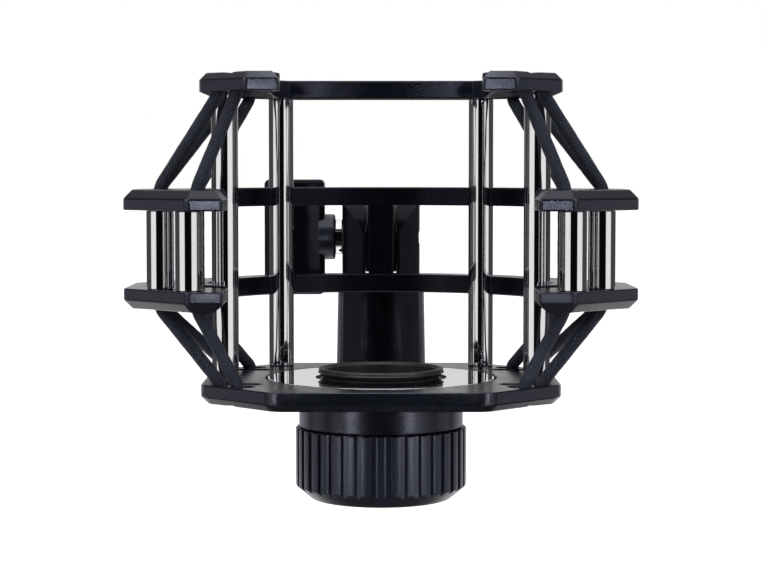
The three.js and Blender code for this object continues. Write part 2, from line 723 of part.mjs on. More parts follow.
// A closed run through given points, stepped from point to point.
class ClosedRun extends THREE.Curve {
  constructor(points) {
    super();
    this.points = points;
  }

  at(index) {
    const count = this.points.length;
    return this.points[((index % count) + count) % count];
  }

  getPointAt(u, target = new THREE.Vector3()) {
    return target.copy(this.at(Math.round(u * this.points.length)));
  }

  getTangentAt(u, target = new THREE.Vector3()) {
    const index = Math.round(u * this.points.length);
    const before = this.at(index).clone().sub(this.at(index - 1)).normalize();
    const after = this.at(index + 1).clone().sub(this.at(index)).normalize();
    return target.copy(before.add(after).normalize());
  }
}

// Rounds each corner of a closed run by the given radius along its two sides.
function rounded(corners, steps) {
  const points = [];
  corners.forEach(({ at, trim }, index) => {
    const previous = corners[(index + corners.length - 1) % corners.length].at;
    const next = corners[(index + 1) % corners.length].at;
    const start = at.clone().lerp(previous, trim / at.distanceTo(previous));
    const end = at.clone().lerp(next, trim / at.distanceTo(next));
    const bend = new THREE.QuadraticBezierCurve3(start, at, end);
    points.push(...bend.getPoints(steps));
  });
  return points;
}

// One loop: over the top frame's bridge, down through both rings and round the base plate's bridge.
function cordLoop(sx, sy, holes) {
  const strandA = point(sx * SLOT_A.strand, sy * SLOT_A.y);
  const strandB = point(sx * SLOT_B.strand, sy * SLOT_B.y);
  const outer = point(sx * holes.outer.x, holes.outer.y);
  const inner = point(sx * holes.inner.x, holes.inner.y);
  const bend = CORD_RADIUS + CORD_SINK;
  const clear = 1.1; // straight run past a face before the cord turns
  const bridgeTrim = 1.7;
  const faceTrim = 1;
  const corner = (p, z, trim) => ({ at: new THREE.Vector3(p.x, p.y, z), trim });
  const corners = [
    corner(strandB, TOP_HIGH - bend, bridgeTrim),
    corner(strandA, TOP_HIGH - bend, bridgeTrim),
    corner(strandA, TOP_LOW - clear, faceTrim),
    corner(outer, UPPER_HIGH + clear, faceTrim),
    corner(outer, LOWER_LOW - clear, faceTrim),
    corner(strandA, clear, faceTrim),
    corner(strandA, PLATE_LOW + bend, bridgeTrim),
    corner(strandB, PLATE_LOW + bend, bridgeTrim),
    corner(strandB, clear, faceTrim),
    corner(inner, LOWER_LOW - clear, faceTrim),
    corner(inner, UPPER_HIGH + clear, faceTrim),
    corner(strandB, TOP_LOW - clear, faceTrim),
  ];
  const points = rounded(corners, 3);
  return new THREE.TubeGeometry(new ClosedRun(points), points.length, CORD_RADIUS, 6, true);
}

function buildCords() {
  for (const corner of CORNERS) {
    const holes = corner.sy < 0 ? CORD_HOLES.front : CORD_HOLES.rear;
    const tube = cordLoop(corner.sx, corner.sy, holes);
    add(`cord_${corner.name}`, toGeometry(toSolid(tube)), 'cord');
  }
}

// ---------------------------------------------------------------- assembly

buildBasePlate();
buildTopFrame();
buildCageRods();
buildMicrophoneSeat();
buildNeck();
buildKnob();
buildRing('upper_ring', UPPER_LOW, UPPER_HIGH, 1);
buildRing('lower_ring', LOWER_LOW, LOWER_HIGH, -1);
buildPillars();
buildTongue();
buildPost();
buildAdapter();
buildClamp();
buildCords();

// The bounding box runs from the base plate's front face to the post's back.
const BOX_MIDDLE_Y = (-PLATE.halfDepth + PIVOT.y + POST.bottomRadius) / 2;
model.position.set(0, -BOX_MIDDLE_Y, -KNOB_FOOT.bottom);

export default model;
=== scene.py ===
import json
import math

import bmesh
import bpy
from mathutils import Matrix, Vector
from mathutils.geometry import delaunay_2d_cdt

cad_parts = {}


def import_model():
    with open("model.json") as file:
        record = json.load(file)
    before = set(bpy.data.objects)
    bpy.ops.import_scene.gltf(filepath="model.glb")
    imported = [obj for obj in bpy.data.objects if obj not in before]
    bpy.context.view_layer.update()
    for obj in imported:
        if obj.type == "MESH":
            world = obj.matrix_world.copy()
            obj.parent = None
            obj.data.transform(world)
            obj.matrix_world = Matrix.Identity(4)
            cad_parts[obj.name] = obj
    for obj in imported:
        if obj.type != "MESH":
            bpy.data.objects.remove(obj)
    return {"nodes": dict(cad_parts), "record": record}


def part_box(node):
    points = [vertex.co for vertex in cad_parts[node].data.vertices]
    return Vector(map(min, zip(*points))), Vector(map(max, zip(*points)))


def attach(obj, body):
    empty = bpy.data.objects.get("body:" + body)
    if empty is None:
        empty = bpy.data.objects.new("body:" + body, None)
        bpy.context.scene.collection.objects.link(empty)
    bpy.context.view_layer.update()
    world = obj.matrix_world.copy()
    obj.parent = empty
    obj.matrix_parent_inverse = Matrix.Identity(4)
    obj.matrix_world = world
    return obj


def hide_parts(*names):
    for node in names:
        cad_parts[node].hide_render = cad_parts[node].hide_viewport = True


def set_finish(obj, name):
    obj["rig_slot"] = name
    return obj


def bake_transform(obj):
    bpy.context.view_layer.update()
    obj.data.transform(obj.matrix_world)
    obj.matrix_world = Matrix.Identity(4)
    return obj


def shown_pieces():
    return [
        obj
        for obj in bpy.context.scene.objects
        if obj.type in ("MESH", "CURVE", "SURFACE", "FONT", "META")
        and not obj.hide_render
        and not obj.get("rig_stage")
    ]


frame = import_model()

SCENE = bpy.context.scene
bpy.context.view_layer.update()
BODY_OF = {node: body for body, nodes in frame["record"]["behaviour"]["bodies"].items() for node in nodes}
MM = 0.001

disc_low, disc_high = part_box("trim_disc")
ORIGIN = Vector(((disc_low.x + disc_high.x) / 2, (disc_low.y + disc_high.y) / 2, disc_high.z))


def local_box(node):
    """A CAD node's box in millimetres from the drawing origin."""
    low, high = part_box(node)
    return (low - ORIGIN) / MM, (high - ORIGIN) / MM


def middle(node):
    low, high = local_box(node)
    return (low + high) / 2


# ---------------- sizes, some read from the CAD boxes and the rest given as numbers

PLATE_LOW = local_box("base_plate")[0].z
TOP_LOW, TOP_HIGH = (corner.z for corner in local_box("top_frame"))
LOWER_LOW, LOWER_HIGH = (corner.z for corner in local_box("lower_ring"))
UPPER_LOW, UPPER_HIGH = (corner.z for corner in local_box("upper_ring"))
RING_MIDDLE = (LOWER_HIGH + UPPER_LOW) / 2
ROD_RADIUS = (local_box("cage_rod_front_left")[1].x - local_box("cage_rod_front_left")[0].x) / 2
KNOB_FOOT = local_box("retaining_knob")[0].z
PIVOT_Y = middle("clamp_bolt").y
PIVOT_Z = middle("clamp_bolt").z
PLATE = {"half_width": 39.1, "half_depth": 33.0, "on_corner": 55.8, "corner_y": 16.7}
TOP = {"front": -27.1, "gap": 21.4, "side": 24.2, "rear": 21.6}
PAD = {"gap": 32.9, "front": -32.3, "face_end": 40.5, "half": 55.5, "side_start": -17.3, "side_end": 4.0}
ARC = {"y": 2.0, "inner": 39.3, "outer": 46.5}
DISC = {"outer": 25.4, "inner": 14.6, "thickness": 1.2, "gap": 0.35}
BORE = 12.7
SEAL = {"inner": 12.4, "waist": 13.0, "lip": 14.1}
NECK = {"pocket": 15.8, "flange": 14.8, "thickness": 2}
KNOB = {"top": -11.2, "cone_top": -24.1, "land": 19.1, "groove": 18.35, "foot": 15.6, "bore": 12.5,
        "spigot": 14.6, "spigot_top": -5.0, "clip_top": -7.4, "clip_low": -8.6, "clip_floor": 13.7}
RIBS = 36
POST = {"top_radius": 10.95, "bottom_radius": 11.5, "shoulder": 16.0, "socket": 8.0, "socket_depth": 18}
EAR = {"inner": 3.95, "outer": 9.8, "radius": 10.0}
TONGUE_ROOM = {"radius": 9.5, "below": 3.0}
NUT_POCKET = {"corner": 5.89, "floor": 6.1}
BOLT_RADIUS = 2.95
BOLT_HOLE = 3.1
COLLAR = {"radius": 5.8, "from": -14.35, "lap": 1.5}
WING_HALF_THICKNESS = 4
ADAPTER = {"outer": 7.9, "outer_pitch": 0.94, "inner": 4.8, "inner_pitch": 1.59, "slot_depth": 1.5}
SLOT_HALF = 1.7
STRAND_A = Vector((34.8, 15.9))
STRAND_B = Vector((30.6, 21.1))
CORD_RADIUS = 1.4
BRAID_STRANDS = 14.0
FLARE = 0.55
CORD_HOLES = {
    "front": (Vector((48.2, -12.0)), Vector((39.3, -20.5))),
    "rear": (Vector((49.0, -2.6)), Vector((40.6, -2.6))),
}
CORNERS = [("front_left", -1, -1), ("front_right", 1, -1), ("rear_left", -1, 1), ("rear_right", 1, 1)]

# ---------------- node helpers


class Nodes:
    """A short way to wire a node tree."""

    def __init__(self, tree):
        self.tree = tree
        tree.nodes.clear()

    def add(self, kind, inputs=None, **settings):
        node = self.tree.nodes.new(kind)
        for key, value in settings.items():
            setattr(node, key, value)
        self.feed(node, inputs or {})
        return node

    def feed(self, node, inputs):
        """Links a node's inputs, or sets them where the value is a plain one."""
        for key, value in inputs.items():
            if isinstance(value, bpy.types.NodeSocket):
                self.tree.links.new(value, node.inputs[key])
            else:
                node.inputs[key].default_value = value

    def math(self, operation, a, b=0.0, c=0.0, clamp=False):
        node = self.add("ShaderNodeMath", {0: a, 1: b, 2: c}, operation=operation, use_clamp=clamp)
        return node.outputs[0]

    def times(self, a, b):
        return self.math("MULTIPLY", a, b)

    def plus(self, a, b):
        return self.math("ADD", a, b)

    def mix(self, factor, a, b):
        return self.add("ShaderNodeMix", {0: factor, 6: a, 7: b}, data_type="RGBA").outputs[2]

    def ramp(self, value, low, high, out_low=0.0, out_high=1.0):
        inputs = {"Value": value, "From Min": low, "From Max": high, "To Min": out_low, "To Max": out_high}
        return self.add("ShaderNodeMapRange", inputs, clamp=True).outputs[0]

    def noise(self, vector, scale, detail=3.0, rough=0.5, stretch=None):
        if stretch:
            inputs = {0: vector, 1: stretch}
            vector = self.add("ShaderNodeVectorMath", inputs, operation="MULTIPLY").outputs[0]
        inputs = {"Vector": vector, "Scale": scale, "Detail": detail, "Roughness": rough}
        return self.add("ShaderNodeTexNoise", inputs).outputs[0]

    def mottle(self, broad, narrow, low, high):
        """Runs from low to high with three parts of a broad pattern and two of a narrow one."""
        both = self.plus(self.times(broad, 0.6), self.times(narrow, 0.4))
        return self.ramp(both, 0.35, 0.65, low, high)

    def bump(self, height, strength, distance):
        inputs = {"Height": height, "Strength": strength, "Distance": distance}
        return self.add("ShaderNodeBump", inputs).outputs[0]

    def edges(self, radius, gain):
        """1 on sharp edges and 0 on flat faces."""
        soft = self.add("ShaderNodeBevel", {"Radius": radius}, samples=4).outputs[0]
        true = self.add("ShaderNodeNewGeometry").outputs["Normal"]
        dot = self.add("ShaderNodeVectorMath", {0: soft, 1: true}, operation="DOT_PRODUCT").outputs["Value"]
        return self.math("MULTIPLY", self.math("SUBTRACT", 1.0, dot), gain, clamp=True)


def material(name):
    made = bpy.data.materials.new(name)
    made.use_nodes = True
    nodes = Nodes(made.node_tree)
    coordinates = nodes.add("ShaderNodeTexCoord").outputs["Object"]
    shader = nodes.add("ShaderNodeBsdfPrincipled")
    nodes.add("ShaderNodeOutputMaterial", {"Surface": shader.outputs[0]})
    return made, nodes, coordinates, shader


def grey(value, blue=1.0):
    return (value, value, value * blue, 1.0)


def tint(value):
    """A cool black."""
    return (value * 0.8, value * 0.95, value * 1.75, 1.0)


REAR_FADE = 25


def plastic(name, dark, light, rough_low, rough_high, grain, worn, gloss=0.4, rear_shade_gloss=None):
    """Moulded or coated black: cloudy sheen, a fine grain, handling marks and paler edges.

    The sheen runs down to the rear value over the first REAR_FADE millimetres behind the ring nut's axis:
    painted shade, a lowered sheen that stands in for the light falling off towards the rear."""
    made, nodes, at, shader = material(name)
    clouds = nodes.noise(at, 55, 4)
    smears = nodes.noise(at, 260, 3, 0.6, (1.0, 0.35, 1.0))
    pits = nodes.noise(at, grain, 2, 0.55)
    fine = nodes.noise(at, grain * 2.6, 1, 0.5)
    scuff = nodes.ramp(nodes.noise(at, 900, 2, 0.7, (0.12, 1.0, 0.5)), 0.66, 0.74)
    base = nodes.mix(nodes.ramp(clouds, 0.3, 0.7), dark, light)
    flecked = nodes.mix(nodes.times(nodes.ramp(pits, 0.45, 0.75), 0.35), base, worn)
    edge = nodes.times(nodes.edges(0.00035, 2.2), nodes.ramp(smears, 0.3, 0.7, 0.25, 0.8))
    rough = nodes.mottle(clouds, smears, rough_low, rough_high)
    rough = nodes.math("SUBTRACT", rough, nodes.times(edge, 0.08))
    rough = nodes.plus(rough, nodes.times(scuff, 0.06))
    # Painted shade: the sheen drops from the front value to the rear one behind the ring nut's axis, for
    # the light that falls off towards the rear.
    depth = nodes.add("ShaderNodeSeparateXYZ", {0: at}).outputs[1]
    rear_shade_gloss = gloss if rear_shade_gloss is None else rear_shade_gloss
    sheen = nodes.ramp(depth, ORIGIN.y, ORIGIN.y + REAR_FADE * MM, gloss, rear_shade_gloss)
    height = nodes.plus(pits, nodes.times(fine, 0.5))
    nodes.feed(shader, {
        "Base Color": nodes.mix(nodes.times(edge, 0.5), flecked, worn),
        "Roughness": rough,
        "IOR": 1.5,
        "Specular IOR Level": sheen,
        "Specular Tint": (0.83, 0.85, 1.0, 1.0),
        "Normal": nodes.bump(height, 0.06, 0.00002),
    })
    return made


def plated(name, colour, rough_low, rough_high, streaks, rings=False):
    """Bright plated or turned metal: faint streaks, uneven polish and specks."""
    made, nodes, at, shader = material(name)
    haze = nodes.noise(at, 120, 4)
    if rings:
        apart = nodes.add("ShaderNodeSeparateXYZ", {0: at})
        flat = nodes.add("ShaderNodeCombineXYZ", {
            0: nodes.math("SUBTRACT", apart.outputs[0], ORIGIN.x),
            1: nodes.math("SUBTRACT", apart.outputs[1], ORIGIN.y),
        }).outputs[0]
        radius = nodes.add("ShaderNodeVectorMath", {0: flat}, operation="LENGTH").outputs["Value"]
        spun = nodes.add("ShaderNodeCombineXYZ", {0: radius}).outputs[0]
        lines = nodes.noise(spun, 5200, 2, 0.6)
    else:
        lines = nodes.noise(at, 2400, 2, 0.6, streaks)
    specks = nodes.ramp(nodes.noise(at, 1800, 1, 0.5), 0.74, 0.8)
    base = nodes.mix(nodes.ramp(haze, 0.3, 0.7), tuple(c * 0.93 for c in colour[:3]) + (1.0,), colour)
    base = nodes.mix(nodes.times(specks, 0.25), base, grey(0.25))
    rough = nodes.mottle(haze, lines, rough_low, rough_high)
    nodes.feed(shader, {
        "Base Color": base,
        "Roughness": nodes.plus(rough, nodes.times(specks, 0.15)),
        "Metallic": 1.0,
        "Normal": nodes.bump(haze, 0.05, 0.000004),
    })
    return made


def rubber():
    made, nodes, at, shader = material("rubber")
    bloom = nodes.noise(at, 190, 4, 0.6)
    grain = nodes.noise(at, 4200, 2)
    dust = nodes.ramp(nodes.noise(at, 2600, 1, 0.5), 0.68, 0.76)
    base = nodes.mix(nodes.ramp(bloom, 0.35, 0.7), grey(0.009, 1.05), grey(0.02, 1.08))
    nodes.feed(shader, {
        "Base Color": nodes.mix(nodes.times(dust, 0.25), base, grey(0.09)),
        "Roughness": nodes.ramp(bloom, 0.3, 0.7, 0.38, 0.56),
        "Normal": nodes.bump(grain, 0.25, 0.00003),
    })
    return made


def braid():
    """Two families of strands on the cord's own map: u runs round it, and v along it in strand widths."""
    made, nodes, at, shader = material("cord_braid")
    uv = nodes.add("ShaderNodeUVMap", uv_map="run").outputs[0]
    apart = nodes.add("ShaderNodeSeparateXYZ", {0: uv})
    around = nodes.times(apart.outputs[0], BRAID_STRANDS)
    left = nodes.plus(around, apart.outputs[1])
    right = nodes.math("SUBTRACT", around, apart.outputs[1])

    def strand(value):
        share = nodes.math("FRACT", value)
        return share, nodes.math("SINE", nodes.times(share, math.pi))

    share_left, crown_left = strand(left)
    share_right, crown_right = strand(right)
    cells = nodes.plus(nodes.math("FLOOR", left), nodes.math("FLOOR", right))
    over = nodes.math("GREATER_THAN", nodes.math("FRACT", nodes.times(cells, 0.5)), 0.25)

    def raised(crown, other):
        lift = nodes.math("MULTIPLY_ADD", other, 0.45, 0.55)
        return nodes.times(nodes.math("POWER", nodes.math("MAXIMUM", crown, 0.0), 0.6), lift)

    def yarns(share):
        wave = nodes.math("SINE", nodes.times(share, 2 * math.pi * 3))
        return nodes.times(wave, 0.08)

    on_left = nodes.plus(raised(crown_left, crown_right), yarns(share_left))
    on_right = nodes.plus(raised(crown_right, crown_left), yarns(share_right))
    difference = nodes.times(nodes.math("SUBTRACT", on_left, on_right), over)
    height = nodes.plus(on_right, difference)
    fuzz = nodes.noise(at, 7000, 2, 0.7)
    wear = nodes.noise(at, 140, 3)
    # Painted shade: the colour darkens to near black in the hollows between strands, and the specular level
    # drops there, for the shade that falls in them.
    raised_part = nodes.ramp(height, 0.35, 0.95)
    valley_shade_colour = nodes.mix(raised_part, grey(0.001, 1.1), tint(0.036))
    worn = nodes.mix(nodes.times(nodes.ramp(wear, 0.45, 0.75), 0.3), valley_shade_colour, tint(0.05))
    total = nodes.math("MULTIPLY_ADD", fuzz, 0.2, height)
    nodes.feed(shader, {
        "Base Color": worn,
        "Roughness": nodes.ramp(fuzz, 0.3, 0.7, 0.42, 0.62),
        "Specular IOR Level": nodes.ramp(height, 0.2, 0.9, 0.05, 0.6),
        "Normal": nodes.bump(total, 1.0, 0.0002),
    })
    return made


MATERIALS = {
    # The moulding's sheen drops from 0.4 to 0.15 towards the rear: painted shade.
    "moulding": plastic("moulding", tint(0.0028), tint(0.0055), 0.22, 0.32, 3400, tint(0.016), 0.4, 0.15),
    "knob": plastic("knob", tint(0.0058), tint(0.009), 0.28, 0.38, 3000, tint(0.04), 0.5),
    "post": plastic("post", tint(0.001), tint(0.0022), 0.26, 0.38, 5200, tint(0.018), 0.11),
    "chrome": plated("chrome", (0.80, 0.785, 0.805, 1.0), 0.015, 0.045, (1.0, 1.0, 0.03)),
    "disc": plated("disc", (0.76, 0.76, 0.80, 1.0), 0.03, 0.07, None, rings=True),
    "screw": plated("screw", (0.09, 0.09, 0.098, 1.0), 0.28, 0.42, (1.0, 1.0, 1.0)),
    "brass": plated("brass", (0.72, 0.52, 0.24, 1.0), 0.2, 0.34, (0.1, 0.1, 1.0)),
    "rubber": rubber(),
    "cord": braid(),
}
SLOT_OF = {"disc": "chrome"}

# ---------------- mesh helpers

CORNER_STEPS = 10


def shape(name, verts, faces, uvs=None):
    """An object with no look yet, from points in millimetres."""
    mesh = bpy.data.meshes.new(name)
    mesh.from_pydata([tuple(ORIGIN + Vector(v) * MM) for v in verts], [], faces)
    if uvs:
        layer = mesh.uv_layers.new(name="run")
        for loop, uv in zip(layer.data, uvs):
            loop.uv = uv
    clean(mesh)
    obj = bpy.data.objects.new(name, mesh)
    SCENE.collection.objects.link(obj)
    return obj


def clean(mesh):
    bm = bmesh.new()
    bm.from_mesh(mesh)
    bmesh.ops.remove_doubles(bm, verts=bm.verts, dist=2e-6)
    bmesh.ops.delete(bm, geom=[e for e in bm.edges if not e.link_faces], context="EDGES")
    bmesh.ops.recalc_face_normals(bm, faces=bm.faces)
    if bm.calc_volume(signed=True) < 0:
        bmesh.ops.reverse_faces(bm, faces=bm.faces)
    bm.to_mesh(mesh)
    bm.free()


def finish_piece(obj, node, look, smooth, blended=False):
    """Gives a piece its look, and the body of the CAD node that it stands for."""
    obj.data.materials.clear()
    obj.data.materials.append(MATERIALS[look])
    obj.data.shade_smooth()
    obj.data.set_sharp_from_angle(angle=math.radians(smooth))
    if not blended:
        modifier = obj.modifiers.new("normals", "WEIGHTED_NORMAL")
        modifier.keep_sharp = True
        modifier.weight = 60
        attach(obj, BODY_OF[node])
    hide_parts(node)
    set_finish(obj, SLOT_OF.get(look, look))


def new_piece(node, word, verts, faces, look, smooth):
    finish_piece(shape(f"{node}_{word}", verts, faces), node, look, smooth)


def turned(node, word, profile, segments, look, smooth, centre=(0.0, 0.0), along="z"):
    new_piece(node, word, *lathe_mesh(profile, segments, centre, along), look, smooth)


def fillet(corners, steps=5, closed=True):
    """Rounds the corners of a run of (x, y, radius)."""
    out = []
    count = len(corners)
    for index, corner in enumerate(corners):
        here = Vector(corner[:2])
        ends = not closed and index in (0, count - 1)
        if corner[2] == 0 or ends:
            out.append(here)
            continue
        before = Vector(corners[index - 1][:2])
        after = Vector(corners[(index + 1) % count][:2])
        into = (here - before).normalized()
        away = (after - here).normalized()
        turn = math.atan2(into.x * away.y - into.y * away.x, into.dot(away))
        start = here - into * corner[2] * math.tan(abs(turn) / 2)
        centre = start + Vector((-into.y, into.x)) * math.copysign(corner[2], turn)
        arm = start - centre
        for step in range(steps + 1):
            angle = turn * step / steps
            c, s = math.cos(angle), math.sin(angle)
            out.append(centre + Vector((arm.x * c - arm.y * s, arm.x * s + arm.y * c)))
    return out


def arc(centre, radius, start, end, steps):
    angles = [start + (end - start) * i / steps for i in range(steps + 1)]
    return [Vector((centre[0] + radius * math.cos(a), centre[1] + radius * math.sin(a))) for a in angles]


def hole(x, y, radius, steps=40):
    """A round hole's outline, walked clockwise."""
    return arc((x, y), radius, 0, -2 * math.pi * (1 - 1 / steps), steps - 1)


def long_hole(a, b, radius, steps=10):
    along = math.atan2(b.y - a.y, b.x - a.x)
    points = arc(b, radius, along + math.pi / 2, along - math.pi / 2, steps)
    return points + arc(a, radius, along - math.pi / 2, along - 1.5 * math.pi, steps)


def edge(low, high, side, chamfer, other=0.3):
    """A plate's edge as (inset, height) from its lower to its upper face, chamfered on one side."""
    face, back = (high, low) if side > 0 else (low, high)
    round_off = min(0.9, chamfer * 0.45)
    run = [
        (other + 0.04, back, 0),
        (0, back, other),
        (0, face - side * chamfer, round_off),
        (chamfer, face, round_off),
        (chamfer + 0.04, face, 0),
    ]
    if side < 0:
        run.reverse()
    return [tuple(p) for p in fillet(run, 4, closed=False)]


def sunk(x, y, face, back, hole_radius=1.6, head_radius=2.9):
    """A cutter for a countersunk hole, from beyond the face to beyond the back."""
    out = math.copysign(1, face - back)
    grow = head_radius - hole_radius
    profile = [(0, face + out), (head_radius + 0.12, face + out), (head_radius + 0.12, face),
               (head_radius, face - out * 0.12), (head_radius, face - out * 0.3),
               (hole_radius, face - out * (grow + 0.3)), (hole_radius, back - out), (0, back - out)]
    return lathe_mesh(profile, 40, (x, y)), "DIFFERENCE"


def inset_corners(corners, plain, wide):
    """Moves a loop's edges inwards, each by its own share between the plain and the wide amount."""
    moved = []
    for index, (x, y, radius, share) in enumerate(corners):
        here = Vector((x, y))
        into = (here - Vector(corners[index - 1][:2])).normalized()
        away = (Vector(corners[(index + 1) % len(corners)][:2]) - here).normalized()
        first, second = Vector((-into.y, into.x)), Vector((-away.y, away.x))
        d0 = plain + (wide - plain) * corners[index - 1][3]
        d1 = plain + (wide - plain) * share
        turn = first.x * second.y - first.y * second.x
        if abs(turn) < 0.12:
            move = (first * d0 + second * d1) / (1 + first.dot(second))
        else:
            move = Vector(((d0 * second.y - d1 * first.y) / turn, (d1 * first.x - d0 * second.x) / turn))
        if radius:
            radius = max(0.15, radius - max(d0, d1)) if turn > 0 else radius + max(d0, d1)
        moved.append((x + move.x, y + move.y, radius))
    return moved


def corner_shares(corners, steps):
    shares = []
    for index, corner in enumerate(corners):
        before, after = corners[index - 1][3], corner[3]
        if corner[2] == 0:
            shares.append((before + after) / 2)
            continue
        shares += [before + (after - before) * step / steps for step in range(steps + 1)]
    return shares


def cap(verts, rings):
    """Triangles that fill a flat face between an outline and its holes."""
    flat = [i for ring in rings for i in ring]
    spots = [Vector(verts[i][:2]) for i in flat]
    sides, first = [], 0
    for ring in rings:
        count = len(ring)
        sides += [(first + k, first + (k + 1) % count) for k in range(count)]
        first += count
    found = delaunay_2d_cdt(spots, sides, [], 0, 1e-5)
    points, triangles, origins = found[0], found[2], found[3]

    def inside(spot):
        odd = False
        for a, b in sides:
            p, q = spots[a], spots[b]
            if (p.y > spot.y) != (q.y > spot.y):
                if spot.x < p.x + (spot.y - p.y) / (q.y - p.y) * (q.x - p.x):
                    odd = not odd
        return odd

    kept = []
    for triangle in triangles:
        if inside(sum((points[k] for k in triangle), Vector((0, 0))) / 3):
            kept.append(tuple(flat[origins[k][0]] for k in triangle))
    return kept


def slab_mesh(loops):
    """A plate from loops of (corners, plain edge, wide edge).

    A corner is (x, y, radius, share), where the share says how far the side after it goes from
    the plain edge to the wide one."""
    verts, faces, low_rings, high_rings = [], [], [], []
    for corners, plain, wide in loops:
        rings = []
        shares = corner_shares(corners, CORNER_STEPS)
        count = len(shares)
        for (inset0, z0), (inset1, z1) in zip(plain, wide):
            ring = []
            points = fillet(inset_corners(corners, inset0, inset1), CORNER_STEPS)
            for p, s in zip(points, shares):
                ring.append(len(verts))
                verts.append((p.x, p.y, z0 + (z1 - z0) * s))
            rings.append(ring)
        for a, b in zip(rings, rings[1:]):
            faces += [(a[i], a[(i + 1) % count], b[(i + 1) % count], b[i]) for i in range(count)]
        low_rings.append(rings[0])
        high_rings.append(rings[-1])
    for rings in (low_rings, high_rings):
        faces += cap(verts, rings)
    return verts, faces


def rod_profile(radius, low, high, low_round, high_round):
    return fillet([(0, low, 0), (radius, low, low_round), (radius, high, high_round), (0, high, 0)], 4)


def rectangle(x0, x1, y0, y1):
    return [Vector((x0, y0)), Vector((x1, y0)), Vector((x1, y1)), Vector((x0, y1))]


def even(points, profile):
    """A loop with the same edge all round, from plain points."""
    return [(p[0], p[1], 0, 0) for p in points], profile, profile


def lathe_mesh(profile, segments, centre=(0.0, 0.0), along="z"):
    """A turned body. A profile point is (radius, height) or (radius, height, 'hex')."""
    verts, faces = [], []
    count = len(profile)
    for index in range(segments):
        angle = 2 * math.pi * index / segments
        hexagon = 1 / math.cos((angle + math.pi / 6) % (math.pi / 3) - math.pi / 6)
        for item in profile:
            radius = item[0] * (hexagon if len(item) > 2 else 1)
            a, b = radius * math.cos(angle), radius * math.sin(angle)
            if along == "z":
                verts.append((centre[0] + a, centre[1] + b, item[1]))
            else:
                verts.append((item[1], centre[0] + a, centre[1] + b))
    for index in range(segments):
        here, there = index * count, ((index + 1) % segments) * count
        for k in range(count):
            n = (k + 1) % count
            faces.append((here + k, there + k, there + n, here + n))
    return verts, faces


def prism_mesh(points, low, high, along="z"):
    verts, faces = slab_mesh([even(points, [(0, low), (0, high)])])
    if along == "x":
        verts = [(z, x, y) for x, y, z in verts]
    return verts, faces


def carve(obj, operations):
    """Applies boolean steps (mesh data, operation) to a piece's own mesh."""
    tools = []
    for index, ((verts, faces), operation) in enumerate(operations):
        tool = shape(f"tool_{index}", verts, faces)
        tools.append(tool)
        modifier = obj.modifiers.new(f"cut_{index}", "BOOLEAN")
        modifier.object = tool
        modifier.operation = operation
        modifier.solver = "MANIFOLD"
    bpy.context.view_layer.update()
    carved = obj.evaluated_get(bpy.context.evaluated_depsgraph_get())
    mesh = bpy.data.meshes.new_from_object(carved)
    obj.modifiers.clear()
    obj.data = mesh
    for tool in tools:
        bpy.data.objects.remove(tool)
    clean(obj.data)


def soften_edges(obj, width, angle=35.0, segments=3):
    modifier = obj.modifiers.new("soft_edges", "BEVEL")
    modifier.width = width * MM
    modifier.segments = segments
    modifier.limit_method = "ANGLE"
    modifier.angle_limit = math.radians(angle)
    modifier.miter_outer = "MITER_ARC"


# ---------------- plates and rings


def mirror_run(corners):
    """A right-hand run of corners, then the same on the left, so that the loop closes."""
    left = [(-x, y, radius, corners[index - 1][3]) for index, (x, y, radius, _) in enumerate(corners)]
    return corners + left[::-1]


def cord_cuts(sx, sy, inner, outer):
    """Cutters for a corner: two slots with a flared lip on the inner face, and the channel outside."""
    out = math.copysign(1, outer - inner)
    cuts = []
    for start, end, y in ((27.7, STRAND_A.x, STRAND_A.y), (29.0, STRAND_B.x, STRAND_B.y)):
        a, b = Vector((sx * start, sy * y)), Vector((sx * end, sy * y))
        flare = [(-FLARE, inner - out), (-FLARE, inner), (-FLARE / 2, inner + out * FLARE * 0.45),
                 (0, inner + out * FLARE * 1.4), (0, outer + out)]
        flare = flare if out > 0 else flare[::-1]
        points = long_hole(a, b, SLOT_HALF)[::-1]
        cuts.append((slab_mesh([even(points, flare)]), "DIFFERENCE"))
    a = Vector((sx * STRAND_A.x, sy * STRAND_A.y))
    b = Vector((sx * STRAND_B.x, sy * STRAND_B.y))
    low, high = sorted((inner + out * 1.2, outer + out))
    cuts.append((prism_mesh(long_hole(a, b, SLOT_HALF - 0.02), low, high), "DIFFERENCE"))
    return cuts


def rod_places():
    return [middle(f"cage_rod_{name}")[:2] for name, _, _ in CORNERS]


def base_plate():
    p = PLATE
    x = p["on_corner"] - p["half_depth"]
    right = [(x, -p["half_depth"], 6, 0), (p["half_width"], -p["corner_y"], 6, 0),
             (p["half_width"], p["corner_y"], 6, 0), (x, p["half_depth"], 6, 0)]
    rim = edge(PLATE_LOW, 0, -1, 1.5, 0.35)
    step = DISC["outer"] + DISC["gap"] - BORE
    seat = [(0.4, PLATE_LOW), (0.1, PLATE_LOW + 0.1), (0, PLATE_LOW + 0.4), (0, -DISC["thickness"]),
            (step, -DISC["thickness"]), (step, -0.3), (step + 0.09, -0.09), (step + 0.3, 0)]
    loops = [(mirror_run(right), rim, rim), even(hole(0, 0, BORE, 128), seat)]
    obj = shape("base_plate_shell", *slab_mesh(loops))
    cuts = [cut for _, sx, sy in CORNERS for cut in cord_cuts(sx, sy, 0, PLATE_LOW)]
    cuts += [sunk(x, y, PLATE_LOW, 0) for x, y in rod_places()]
    neck_hole = [(0, -6), (1.0, -6), (1.0, -2.3), (1.8, -1.5), (1.8, 1), (0, 1)]
    for index in (1, 2, 3):
        at = middle(f"neck_screw_{index}")
        cuts.append((lathe_mesh(neck_hole, 24, (at.x, at.y)), "DIFFERENCE"))
    carve(obj, cuts)
    finish_piece(obj, "base_plate", "moulding", 32)


